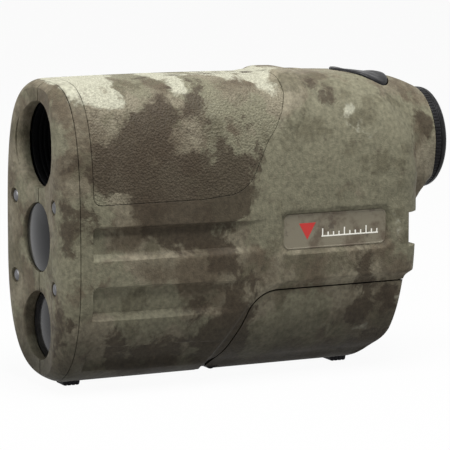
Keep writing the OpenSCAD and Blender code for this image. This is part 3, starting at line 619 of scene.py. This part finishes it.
def mottled(name, saddle):
    finish = Finish(name, Roughness=0.62, Specular_IOR_Level=0.12)
    wander = finish.add("ShaderNodeTexNoise", {}, {
        "Vector": finish.place, "Scale": 110, "Detail": 3, "Roughness": 0.5}, "Color")
    wander = finish.vector("SUBTRACT", wander, (0.5, 0.5, 0.5))
    drift = finish.add("ShaderNodeVectorMath", {"operation": "SCALE"}, {0: wander, "Scale": mottle["drift"]})
    where = finish.vector("ADD", finish.place, drift)

    def patches(key):
        total = 0
        for patch in mottle[key]:
            total = finish.near(*patch) + total
        return total

    soft = finish.noise(15, 5, 0.6, 0.31, where)
    # the dark mask carries the pattern's dark blotches and, through some dark patches, painted shade
    dark = finish.noise(21, 8, 0.66, 0.0, where) + patches("darkPatchesAndShade")
    dark = dark - patches("greenPatches") * 0.8
    green = finish.noise(24, 7, 0.62, 0.83, where) + patches("greenPatches")
    pale = finish.noise(17, 7, 0.6, 0.57, where) + patches("palePatches") - patches("darkPatchesAndShade") * 0.5
    colour = finish.blend(mottle["stone"], mottle["earth"], finish.step(soft, 0.38, 0.62))
    colour = finish.blend(colour, mottle["sage"], finish.step(green, 0.5, 0.57))
    mossy = finish.noise(9, 6, 0.6, 0.2, where)
    colour = finish.blend(colour, mottle["moss"], finish.step(mossy, 0.52, 0.64) * 0.7)
    colour = finish.blend(colour, mottle["khaki"], finish.step(pale, 0.635, 0.71) * 0.78)
    colour = finish.blend(colour, mottle["bark"], finish.step(dark, 0.57, 0.63) * 0.86)
    # painted shade: the colour darkens towards the bottom, standing in for the shade under the body
    low = finish.apart()[2] / mm + finish.noise(12, 6, 0.6, 0.37, where) * 14
    colour = finish.blend(colour, mottle["paintedUnderShade"], (1 - finish.step(low, 8, 33)) * 0.88)
    fine = finish.noise(0.6 if saddle else 1.1, 4, 0.6)
    flecks = finish.noise(3.2, 5, 0.7, 0.4)
    colour = finish.blend(colour, mottle["fleck"], finish.step(flecks, 0.56, 0.72) * 0.5)
    speckle = finish.spread(fine, 0.7, 1.24)
    grey = finish.add("ShaderNodeCombineColor", {}, [speckle, speckle, speckle])
    colour = finish.blend(colour, grey, 1.0, "MULTIPLY")
    hide = finish.grain(0.5 if saddle else 0.4, 0.1) + finish.noise(0.5, 3, 0.6) * 0.6
    worn = finish.bump(hide, 0.2 if saddle else 0.07, 1.0, finish.edge(0.22))
    rough = finish.spread(finish.noise(6, 4), 0.56, 0.7)
    return finish.link(Base_Color=colour, Roughness=rough, Normal=worn)


def moulded(name, colour, wear, roughness, texture, depth, metallic=0.0, edgeRadius=0.15, **more):
    # plastic, rubber or metal with a fine texture, some wear in its colour and slightly rounded edges
    finish = Finish(name, Metallic=metallic, **more)
    shade = finish.blend(colour, wear, finish.step(finish.noise(7, 6, 0.65), 0.46, 0.72))
    shade = finish.blend(shade, wear, finish.step(finish.noise(0.8, 3, 0.6, 0.3), 0.6, 0.8) * 0.5)
    rough = finish.spread(finish.noise(2.5, 4, 0.6, 0.9), roughness - 0.07, roughness + 0.09)
    normal = finish.bump(finish.grain(texture), depth, 1.0, finish.edge(edgeRadius, 4))
    return finish.link(Base_Color=shade, Roughness=rough, Normal=normal)


def glass(name, colour, haze, coat):
    # dark coated glass: an almost black body under a faintly tinted coating
    finish = Finish(name, Coat_Roughness=0.05, IOR=1.45, Specular_IOR_Level=0.17, Coat_IOR=1.4)
    smear = finish.noise(6, 4, 0.6)
    shade = finish.blend(colour, haze, finish.step(smear, 0.35, 0.8) * 0.5)
    rough = finish.spread(smear, 0.12, 0.2, 0, 1)
    coating = finish.step(finish.noise(9, 2, 0.5, 0.7), 0.1, 0.5) * coat
    return finish.link(Base_Color=shade, Roughness=rough, Coat_Weight=coating)


materials = {
    "armour_camo": mottled("mottled armour", False),
    "saddle_camo": mottled("mottled leather grain", True),
    "black_plastic": moulded("black plastic", tint(15, 15, 16), tint(28, 28, 29), 0.42, 0.35, 0.02,
                             Specular_IOR_Level=0.14),
    "black_rubber": moulded("black rubber", tint(20, 20, 22), tint(34, 33, 33), 0.6, 0.4, 0.03,
                            Specular_IOR_Level=0.12),
    "black_anodised": moulded("black anodised", tint(9, 9, 10), tint(14, 14, 16), 0.62, 0.3, 0.01,
                              Specular_IOR_Level=0.08),
    "steel": moulded("plated steel", tint(96, 96, 98), tint(48, 47, 46), 0.4, 0.3, 0.006, 1.0, 0.06),
    "lens_glass": glass("coated glass", tint(14, 15, 17), tint(26, 26, 30), 0.06),
    "filter_glass": glass("filter glass", tint(70, 16, 24), tint(96, 30, 36), 0.6),
    "board_green": moulded("circuit board", tint(24, 84, 48), tint(40, 112, 66), 0.4, 0.5, 0.02),
    "chip_black": moulded("chip moulding", tint(34, 34, 36), tint(56, 56, 58), 0.55, 0.25, 0.012),
    "can_gold": moulded("gold plated can", tint(226, 190, 110), tint(176, 140, 78), 0.24, 0.3, 0.004,
                        1.0, 0.06),
    "capacitor_sleeve": moulded("shrink sleeve", tint(40, 52, 104), tint(58, 70, 120), 0.3, 0.6, 0.01),
    "battery_case": moulded("battery case", tint(150, 118, 48), tint(96, 78, 44), 0.34, 0.7, 0.01, 0.6),
    "wire_red": moulded("insulated wire", tint(176, 30, 26), tint(132, 24, 22), 0.35, 0.4, 0.01),
    "foam": moulded("foam", tint(58, 58, 60), tint(36, 36, 38), 0.85, 0.5, 0.12),
}
print("materials made:", len(materials))


def place(thing, slot, rides, *nodes, angle=32):
    smoothShade(thing, angle)
    thing.data.materials.clear()
    thing.data.materials.append(materials[slot])
    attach(thing, rides)
    if nodes:
        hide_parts(*nodes)
    print("made", thing.name, len(thing.data.polygons))
    return thing


# Housing shells, nose, saddle panel and battery door, all cut from one skin
outerGrid, coreGrids = skinGrids()
skin = closedTube("skin", outerGrid)
cores = {inset: closedTube("core", grid) for inset, grid in coreGrids.items()}
print("skin cast:", len(skin.data.polygons), "faces")


button = {"y": backY - 19.5, "length": 13.5, "halfWidth": 10, "round": 0.85, "proud": 0.55, "rim": 0.5,
          "dish": 0.45, "thick": 1.4, "stem": 1.5, "play": 0.3,
          "tip": [(0.08, -1), (0.3, -0.9), (0.53, -0.72), (0.74, -0.5), (0.9, -0.26)]}


def buttonOutline(extra=0.0, steps=24):
    # teardrop seen from above: a narrow tip in front, round behind
    half, y = button["length"] / 2, button["y"]
    side = [(button["halfWidth"] * x, y + half * share) for x, share in button["tip"]]
    for a in np.radians(np.linspace(-12, 90, steps)):
        share = 1 - button["round"] + button["round"] * math.sin(a)
        side.append((button["halfWidth"] * math.cos(a), y + half * share))
    outline = side + [(-x, p) for x, p in side[-2::-1]]
    return grow(outline, extra)


def notchCutter():
    # groove across the rear with a bevelled upper corner and a small lip below
    low, high = notch["low"], notch["high"]
    outline = [(notch["floor"], low), (backY - 12.4, low), (backY - 11.6, low - 0.5), (backY, low - 0.5),
               (backY, high + 1.5), (backY - 10.2, high + 1.5), (backY - 12.0, high), (notch["floor"], high)]
    cutter = sidePrism(outline)
    deeper = block((notch["middle"], notch["side"], low), (40, backY - 12, high))
    return combine(cutter, deeper, "UNION")


def upright(outline, low, high, name="upright"):
    count = len(outline)
    points = [(x, y, low) for x, y in outline] + [(x, y, high) for x, y in outline]
    faces = [tuple(range(count - 1, -1, -1)), tuple(range(count, 2 * count))]
    faces += [(i, (i + 1) % count, count + (i + 1) % count, count + i) for i in range(count)]
    made = makeObject(name, points, faces)
    tidyNormals(made)
    return made


def saddlePanel():
    panel = duplicate(skin, "saddle_panel_skin")
    combine(panel, sidePrism(grow(saddleLine, -0.04)), "INTERSECT")
    combine(panel, cores[body["seat"]], keepTool=True)
    return place(panel, "saddle_camo", "housing", "saddle_panel")


def doorPanel():
    door = duplicate(skin, "battery_door_skin")
    combine(door, sidePrism(doorLine), "INTERSECT")
    combine(door, cores[body["wall"]], keepTool=True)
    reach = hinge["halfLength"] + 0.3
    combine(door, block((-reach, hinge["y"] - 5, -5), (reach, hinge["y"] + 1.8, hinge["z"] + 1)))
    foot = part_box("rear_foot")
    middle = (foot[0].y + foot[1].y) / 2 / mm
    combine(door, block((-3.15, middle - 2.35, 0), (3.15, middle + 2.35, 2.1)))
    latchY = backY - 19.7
    tongue = block((-2.8, latchY, 14), (2.8, latchY + 1.2, doorTop + 1.1))
    for piece in (block((-4, latchY, 14), (4, latchY + 3.6, 19)),
                  block((-2.8, latchY - 0.45, doorTop + 0.1), (2.8, latchY + 0.55, doorTop + 1.1))):
        combine(tongue, piece, "UNION")
    combine(door, tongue, "UNION")
    return place(door, "armour_camo", "door", "battery_door")


screwForm = {"x": 12.2, "rows": (25.6, 45.2), "radius": 1.6, "y": frontY + 0.32, "slotWidth": 0.6,
             "slotReach": 1.05, "slotDepth": 0.95}
objective = {"z": 58.9, "bore": 10.4}
windows = {"heights": (36.5, 15), "radius": 8.4, "flare": 0.75}


def noseHalf():
    half = duplicate(skin, "nose_left_skin")
    combine(half, block((0.2, frontY - 2, -5), (40, body["nose"], topZ + 5)), "INTERSECT")
    dish = arcPoints((0, frontY + 1.4 - 52), 52, 62, 118, 160)
    combine(half, upright(dish + [(-30, frontY - 40), (30, frontY - 40)], -5, topZ + 5))
    face = frontY + 0.75
    flare = [(frontY + 9, 0), (frontY + 9, objective["bore"]), (face + 1.5, objective["bore"])]
    flare += [(face + 1.5 - 1.7 * math.sin(a), objective["bore"] + 1.0 * (1 - math.cos(a)))
              for a in np.radians(np.linspace(10, 90, 9))]
    flare += [(frontY - 3, objective["bore"] + 1.1), (frontY - 3, 0)]
    combine(half, turned("flare", flare, (0, objective["z"]), 180))
    radius = windows["radius"]
    for z in windows["heights"]:
        window = [(frontY + 9, 0), (frontY + 9, radius), (face + 0.7, radius)]
        window += [(face + 0.7 - 0.9 * math.sin(a), radius + windows["flare"] * (1 - math.cos(a)))
                   for a in np.radians(np.linspace(15, 90, 7))]
        window += [(frontY - 3, 9.25), (frontY - 3, 0)]
        combine(half, turned("window", window, (0, z), 160))
    for z in screwForm["rows"]:
        recess = [(frontY + 9, 0), (frontY + 9, 1.1), (frontY + 2.9, 1.1), (frontY + 2.9, 1.75),
                  (frontY + 0.5, 1.75), (frontY + 0.1, 1.95), (frontY - 3, 1.95), (frontY - 3, 0)]
        combine(half, turned("recess", recess, (screwForm["x"], z), 48))
    place(half, "armour_camo", "housing", "nose_left")
    other = duplicate(half, "nose_right_skin", True)
    return half, place(other, "armour_camo", "housing", "nose_right")


def cavityMould():
    # what the shells leave empty, less the floor of the lanyard groove and the liner of the saddle
    cavity = duplicate(cores[body["wall"]], "cavity")
    wall, pocket = body["wall"], notch["pocketHalf"] + body["wall"]
    combine(cavity, block((-30, notch["side"] - wall, notch["low"] - wall - 0.5),
                          (30, backY, notch["high"] + wall + 1.5)))
    combine(cavity, block((-pocket, notch["floor"] - notch["pocket"] - wall, notch["low"] - wall),
                          (pocket, notch["floor"], notch["high"] + wall)))
    liner = sidePrism(grow(saddleLine, wall))
    combine(liner, cores[body["liner"]], keepTool=True)
    return combine(cavity, liner)


def shellHalf():
    half = duplicate(skin, "left_shell_skin")
    combine(half, block((0.05, body["nose"] + body["gap"], -5), (40, backY, topZ + 5)), "INTERSECT")
    combine(half, cavityMould())
    seat = sidePrism(grow(saddleLine, 0.1))
    combine(seat, cores[body["seat"]], keepTool=True)
    combine(half, seat)
    combine(half, sidePrism(grow(doorLine, body["doorGap"])))
    for reach, radius in ((hinge["halfLength"] + 9, hinge["relief"]),
                          (hinge["halfLength"] + 0.6, hinge["knuckleRelief"])):
        profile = [(-reach, 0), (-reach, radius), (reach, radius), (reach, 0)]
        combine(half, turned("relief", profile, (hinge["y"], hinge["z"]), 64, axis="x"))
    combine(half, notchCutter())
    pocket = notch["pocketHalf"]
    combine(half, block((-pocket, notch["floor"] - notch["pocket"], notch["low"] + 0.02),
                        (pocket, notch["floor"] + 5, notch["high"] - 0.02)))
    combine(half, upright(buttonOutline(button["play"]), 60, topZ + 5))
    rim = body["rim"]
    neck = [(rim - 8, 0), (rim - 8, 11.9), (rim - 0.5, 11.9), (rim, 12.3), (rim + 4, 12.3), (rim + 4, 0)]
    combine(half, turned("neck", neck, (0, body["eyepieceZ"]), 180))
    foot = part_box("front_foot")
    middle = (foot[0].y + foot[1].y) / 2 / mm
    combine(half, block((-3.15, middle - 2.35, 0), (3.15, middle + 2.35, 2.1)))
    low, high = notch["low"] - 1.2, notch["high"] + 1.2
    bar = [(low, 0), (low, notch["barRadius"]), (high, notch["barRadius"]), (high, 0)]
    combine(half, turned("barHole", bar, (0, notch["barY"]), 40, axis="z"))
    place(half, "armour_camo", "housing", "left_shell")
    other = duplicate(half, "right_shell_skin", True)
    return half, place(other, "armour_camo", "housing", "right_shell")


saddlePanel()
doorPanel()
noseHalf()
shellHalf()
for spare in [skin, *cores.values()]:
    discard(spare)


# The rest of the outside
def fireButton():
    outline = np.array(buttonOutline(0, 40))
    ring = np.concatenate([outline, outline[:1]])
    run = np.concatenate([[0], np.cumsum(np.linalg.norm(np.diff(ring, axis=0), axis=1))])
    steps = np.linspace(0, run[-1], 160 + 1)[:-1]
    edge = np.stack([np.interp(steps, run, ring[:, 0]), np.interp(steps, run, ring[:, 1])], 1)
    middle = np.array([0, button["y"] + 2.0])
    shares = np.concatenate([np.linspace(0.02, 0.9, 30), 1 - np.linspace(0.95, 0, 18) ** 2 * 0.1])
    flat = middle + shares[:, None, None] * (edge - middle)[None]
    away = (1 - shares)[:, None] * np.linalg.norm(edge - middle, axis=1)[None]
    x, y = flat[..., 0], flat[..., 1]
    low, high = np.full(x.shape, 56.0), np.full(x.shape, 80.0)
    for _ in range(24):
        z = (low + high) / 2
        outside = bodyDistance(x, y, z) > 0
        high = np.where(outside, z, high)
        low = np.where(outside, low, z)
    roundEdge = roundIn(away, button["rim"]) * np.where(away < button["rim"], 1, 0)
    dish = button["dish"] * ease((away - 0.9) / 3.2)
    top = high + button["proud"] - roundEdge - dish
    base = high - button["thick"]
    rows = np.concatenate([np.stack([x, y, top], -1), np.stack([x, y, base], -1)[::-1]])
    cap = closedTube("fire_button_cap", rows)
    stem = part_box("fire_button")
    low, high = stem[0].z / mm, 70.2
    profile = [(low, 0), (low, button["stem"]), (high, button["stem"]), (high, 0)]
    combine(cap, turned("stem", rounded(profile, 0.2), (0, button["y"]), 48, axis="z"), "UNION")
    return place(cap, "black_plastic", "button", "fire_button", angle=40)


def noseScrews():
    for side in (-1, 1):
        for z in screwForm["rows"]:
            y, radius = screwForm["y"], screwForm["radius"]
            head = [(y + 7, 0), (y + 7, 0.95), (y + 1.1, 0.95), (y + 1.1, radius), (y + 0.35, radius),
                    (y + 0.08, radius - 0.3), (y - 0.12, radius * 0.5), (y - 0.16, 0)]
            name = "nose_screw_" + ("left_" if side > 0 else "right_") + ("low" if z < 30 else "high")
            screw = turned(name, rounded(head, 0.12, 3), (side * screwForm["x"], z), 64)
            turn = 0.35 + 0.6 * (z > 30) + 0.4 * (side > 0)
            for k in range(2):
                reach, slot = screwForm["slotReach"], screwForm["slotWidth"] / 2
                cross = block((-reach, y - 1, -slot), (reach, y + screwForm["slotDepth"], slot))
                angle = turn + k * math.pi / 2
                cross.data.transform(rotationAbout(angle, side * screwForm["x"], z))
                combine(screw, cross)
            if side < 0 and z < 30:
                place(screw, "steel", "housing", "nose_screws")
            else:
                place(screw, "steel", "housing")


def rotationAbout(angle, x, z):
    c, s = math.cos(angle), math.sin(angle)
    return ((c, 0, s, x * mm), (0, 1, 0, 0), (-s, 0, c, z * mm), (0, 0, 0, 1))


ringForm = {"radius": 12.75, "ribs": 90, "ribDepth": 0.16, "marks": 12}


def focusRing():
    start, end = body["rim"] + 0.3, backY - 0.3
    z = body["eyepieceZ"]
    radius = ringForm["radius"]
    band = [(start, 11.2), (start, radius - 0.35), (start + 0.18, radius - 0.05)]
    band += [(start + 0.3 + 0.1 * k, radius) for k in range(13)]
    band += [(start + 1.55, radius - 0.28), (start + 1.75, radius - 0.28), (start + 1.95, radius - 0.05)]
    band += [(start + 2.2 + 0.2 * k, radius - 0.06 - 0.03 * k) for k in range(3)]
    band += [(end - 0.2, radius - 0.3), (end, radius - 0.55), (end, 10.95)]
    band += [(end - 2.2, 10.5), (start - 6.2, 10.5), (start - 6.2, 11.5), (start - 0.1, 11.5)]

    def ripple(along, reach, angle):
        ribbed = (along > start + 0.25) & (along < start + 1.5)
        wave = np.maximum(0, np.cos(angle * ringForm["ribs"])) ** 0.6
        marked = (along > start + 2.1) & (along < end - 0.3)
        mark = np.clip(1.5 - np.abs((angle / (2 * math.pi) * ringForm["marks"]) % 1 - 0.5) * 60, 0, 1)
        return -ringForm["ribDepth"] * np.where(ribbed, wave, 0) - 0.1 * np.where(marked, mark, 0)

    ring = turned("focus_ring_grip", band, (0, z), 720, ripple)
    return place(ring, "black_plastic", "focus", "focus_ring", angle=28)


def eyeCup():
    z = body["eyepieceZ"]
    lip = [(0.35, 12.2), (0.06, 12.0), (0, 11.7), (0, 11.1), (0.1, 10.8), (0.9, 10.2), (1.7, 9.2),
           (2.0, 8.4), (2.15, 8.2), (2.3, 8.4), (2.2, 9.4), (1.3, 10.6), (0.45, 11.0)]
    profile = [(backY - deep, radius) for deep, radius in lip]
    cup = turned("eyecup_lip", rounded(profile, 0.25, 3), (0, z), 160)
    return place(cup, "black_rubber", "focus", "eyecup")


def foot(node, name, rides):
    low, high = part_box(node)
    y0, y1 = low.y / mm, high.y / mm
    cross = rounded([(-2.2, 0), (2.2, 0), (3, 2), (-3, 2)], [0.5, 0.5, 0, 0])
    shares = [(y0, 0.86), (y0 + 0.2, 0.95), (y0 + 0.5, 1), (y1 - 0.5, 1), (y1 - 0.2, 0.95), (y1, 0.86)]
    for k in range(3):
        groove = y0 + 1.1 + 1.1 * k
        shares[3 + k * 3:3 + k * 3] = [(groove - 0.18, 1), (groove, 0.93), (groove + 0.18, 1)]
    grid = np.array([[(x * share, y, 2 - (2 - z) * (share if z < 1.9 else 1)) for x, z in cross]
                     for y, share in shares])
    made = closedTube(name, grid)
    return place(made, "black_rubber", rides, node)


def lens(node, name, z, radius, edgeY, apexY):
    # domed front with a thin flange before the mouth of its tube
    seat = 7.4
    bulge = edgeY - apexY
    front = [(edgeY - bulge * (1 - (r / radius) ** 2), r) for r in np.linspace(0, radius, 26)]
    profile = front + [(edgeY + 0.1, radius + 0.02), (edgeY + 0.14, seat)]
    profile += [(edgeY + 1.4, seat), (edgeY + 1.4, 0)]
    made = turned(name, profile, (0, z), 128)
    return place(made, "lens_glass", "housing", node, angle=50)


def badgePlate(side):
    # plate in the recess, with a sloped border and a raised scale of generic marks
    inner = badge["bevel"]

    def outline(shrink):
        corner = badge["corner"] - shrink
        reachY = badge["halfLength"] - badge["corner"]
        reachZ = badge["halfHeight"] - badge["corner"]
        points = []
        for quarter, (y, z) in enumerate(((1, 1), (-1, 1), (-1, -1), (1, -1))):
            centre = (badge["y"] + y * reachY, badge["z"] + z * reachZ)
            points += arcPoints(centre, corner, quarter * 90, quarter * 90 + 90, 8)
        return points

    face = halfWidth - badge["depth"] + 0.02
    levels = [(inner + 0.1, face - 0.8), (inner + 0.1, face - 0.12), (inner + 0.16, face + 0.06),
              (inner + 0.3, face + 0.12), (inner + 0.5, face + 0.12), (inner + 0.62, face + 0.02),
              (inner + 1.2, face)]
    grid = np.array([[(side * x, y, z) for y, z in outline(shrink)] for shrink, x in levels])
    name = "left_badge" if side > 0 else "right_badge"
    plate = closedTube(name + "_plate", grid)
    place(plate, "badge", "housing", name)


def badgeFinish():
    finish = Finish("badge plate", Specular_IOR_Level=0.4)
    _, y, z = finish.apart()
    y = y / mm - badge["y"]
    z = z / mm - badge["z"]
    broad = finish.noise(9, 7, 0.62, 0.12)
    base = finish.blend(tint(112, 106, 90), tint(84, 74, 60), finish.step(broad, 0.47, 0.6))
    narrow = finish.noise(5, 7, 0.65, 0.5)
    base = finish.blend(base, tint(60, 50, 40), finish.step(narrow, 0.58, 0.66) * 0.7)
    # a red triangle pointing down, beside a short scale
    ty = abs(y + 7.6)
    triangle = finish.step((z + 2.1) * 0.56 - ty, -0.06, 0.06) * finish.step(2.0 - z, -0.05, 0.05)
    colour = finish.blend(base, tint(176, 44, 40), triangle)
    pitch = 1.5
    along = y + 3.4
    spot = abs(finish.add("ShaderNodeMath", {"operation": "PINGPONG"}, [along, pitch / 2]) - pitch / 2)
    tick = finish.step(0.17 - abs(spot - pitch / 2), -0.03, 0.03)
    long = finish.add("ShaderNodeMath", {"operation": "PINGPONG"}, [along, pitch * 2])
    isLong = finish.step(0.4 - long, -0.1, 0.1)
    height = 1.0 + isLong * 0.9
    inRow = finish.step(height - (z + 1.5), -0.05, 0.05) * finish.step(z + 1.5, -0.05, 0.05)
    inRun = finish.step(along + 0.3, -0.02, 0.02) * finish.step(15.3 - along, -0.02, 0.02)
    line = finish.step(0.16 - abs(z + 1.5), -0.04, 0.04)
    marks = (tick * inRow).atLeast(line) * inRun
    colour = finish.blend(colour, tint(226, 224, 214), marks)
    printed = triangle.atLeast(marks)
    height = printed * 0.6 + finish.grain(0.3) * 0.3
    rough = finish.spread(finish.noise(4, 4), 0.42, 0.6, 0, 1)
    raised = finish.bump(height, 0.05, 1.0, finish.edge(0.12))
    return finish.link(Base_Color=colour, Roughness=rough, Normal=raised)


materials["badge"] = badgeFinish()
fireButton()
noseScrews()
focusRing()
eyeCup()
foot("front_foot", "front_foot_pad", "housing")
foot("rear_foot", "rear_foot_pad", "door")
lens("transmit_lens", "transmit_lens_dome", windows["heights"][0], 8.15, frontY + 1.7, frontY + 0.7)
lens("receive_lens", "receive_lens_dome", windows["heights"][1], 8.15, frontY + 3.5, frontY + 2.5)
badgePlate(1)
badgePlate(-1)

# Carried pieces take their finish from their slot
carried = {
    "black_anodised": ["objective_hood", "objective_cell", "objective_retainer", "scope_body",
                       "display_frame", "eyepiece_barrel", "eyepiece_cell", "transmit_tube", "receive_tube"],
    "steel": ["lanyard_bar", "hinge_pin", "prism_clip", "focus_pin", "snap_ring", "board_screws"],
    "lens_glass": ["objective_lens", "front_prism", "roof_prism", "display_glass", "field_lens", "eye_lens"],
    "filter_glass": ["band_filter"],
    "can_gold": ["laser_diode", "detector"],
    "board_green": ["laser_board", "detector_board", "main_board", "switch_board"],
    "chip_black": ["board_chips"],
    "capacitor_sleeve": ["storage_capacitor"],
    "black_plastic": ["battery_bay", "snap_connector", "switch_body", "door_frame"],
    "battery_case": ["battery_9v"],
    "wire_red": ["battery_leads", "switch_plunger"],
    "foam": ["battery_pad"],
}
for slotName, nodeNames in carried.items():
    for nodeName in nodeNames:
        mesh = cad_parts[nodeName].data
        mesh.materials.clear()
        mesh.materials.append(materials[slotName])
        mesh.polygons.foreach_set("material_index", np.zeros(len(mesh.polygons), np.int32))
print("carried pieces finished")

# Floor, light and camera
studio = {"floor": 3.0, "floorTints": (tint(176, 176, 176), tint(182, 182, 182)), "whiteShare": 0.95,
          "sky": 0.1, "lampAim": (0, 0, 0.04),
          "lensLength": 244.7, "distance": 756.8, "azimuth": 64.16, "elevation": 8.35,
          "target": (0, -1.2, 37.6), "aimRight": -1.1, "aimUp": -1.42}
lamps = [  # name, place, size and power
    {"name": "top softbox", "spot": (0.2, 0.0, 0.62), "size": (0.34, 0.44), "power": 8.0},
    {"name": "front fill", "spot": (-0.12, -0.8, 0.36), "size": (0.4, 0.4), "power": 4.8},
]


def showWhite(wiring, mixed, share, kind):
    # plain white where the camera, a mirror or glass sees it
    rays = ("Is Camera Ray", "Is Glossy Ray", "Is Transmission Ray")
    seen = [wiring.add("ShaderNodeLightPath", output=name) for name in rays]
    glow = wiring.add(kind, {}, {"Color": (1, 1, 1, 1), "Strength": 1.0})
    factor = seen[0].atLeast(seen[1]).atLeast(seen[2]) * share
    return wiring.add("ShaderNodeMixShader", {}, {0: factor, 1: mixed, 2: glow})


def makeFloor():
    size = studio["floor"]
    mesh = bpy.data.meshes.new("floor")
    corners = [(-size, -size, 0), (size, -size, 0), (size, size, 0), (-size, size, 0)]
    mesh.from_pydata(corners, [], [(0, 1, 2, 3)])
    floor = bpy.data.objects.new("floor", mesh)
    bpy.context.scene.collection.objects.link(floor)
    finish = Finish("floor", Roughness=0.9, Specular_IOR_Level=0.1)
    finish.link(Base_Color=finish.blend(*studio["floorTints"], finish.noise(90, 2)))
    plain = Amount(finish, finish.shader.outputs[0])
    out = finish.tree.nodes["Material Output"].inputs["Surface"]
    white = showWhite(finish, plain, studio["whiteShare"], "ShaderNodeEmission")
    finish.tree.links.new(white.socket, out)
    mesh.materials.append(finish.material)


def makeLamp(name, spot, size, power):
    data = bpy.data.lights.new(name, "AREA")
    data.shape = "RECTANGLE"
    data.size, data.size_y = size
    data.energy = power
    lamp = bpy.data.objects.new(name, data)
    bpy.context.scene.collection.objects.link(lamp)
    lamp.location = spot
    aim = Vector(studio["lampAim"]) - Vector(spot)
    lamp.rotation_euler = aim.to_track_quat("-Z", "Y").to_euler()


def makeWorld():
    world = bpy.data.worlds.new("studio")
    world.use_nodes = True
    bpy.context.scene.world = world
    sky = Wiring(world.node_tree)
    sky.tree.nodes.remove(sky.tree.nodes["Background"])
    plain = sky.add("ShaderNodeBackground", {}, {"Color": (1, 1, 1, 1), "Strength": studio["sky"]})
    white = showWhite(sky, plain, 1.0, "ShaderNodeBackground")
    sky.tree.links.new(white.socket, sky.tree.nodes["World Output"].inputs["Surface"])


def makeCamera():
    azimuth, elevation = math.radians(studio["azimuth"]), math.radians(studio["elevation"])
    back = Vector((math.sin(azimuth) * math.cos(elevation), -math.cos(azimuth) * math.cos(elevation),
                   math.sin(elevation)))
    right = Vector((math.cos(azimuth), math.sin(azimuth), 0))
    up = back.cross(right)
    target = Vector(studio["target"]) * mm
    data = bpy.data.cameras.new("camera")
    data.lens = studio["lensLength"]
    data.sensor_width = 36
    data.clip_start = 0.05
    camera = bpy.data.objects.new("camera", data)
    bpy.context.scene.collection.objects.link(camera)
    camera.location = target + back * studio["distance"] * mm
    aim = target + (right * studio["aimRight"] + up * studio["aimUp"]) * mm
    camera.rotation_euler = (camera.location - aim).to_track_quat("Z", "Y").to_euler()
    bpy.context.scene.camera = camera


makeFloor()
makeWorld()
for lamp in lamps:
    makeLamp(**lamp)
makeCamera()
print("studio ready")
bpy.context.scene.view_settings.view_transform = "Standard"
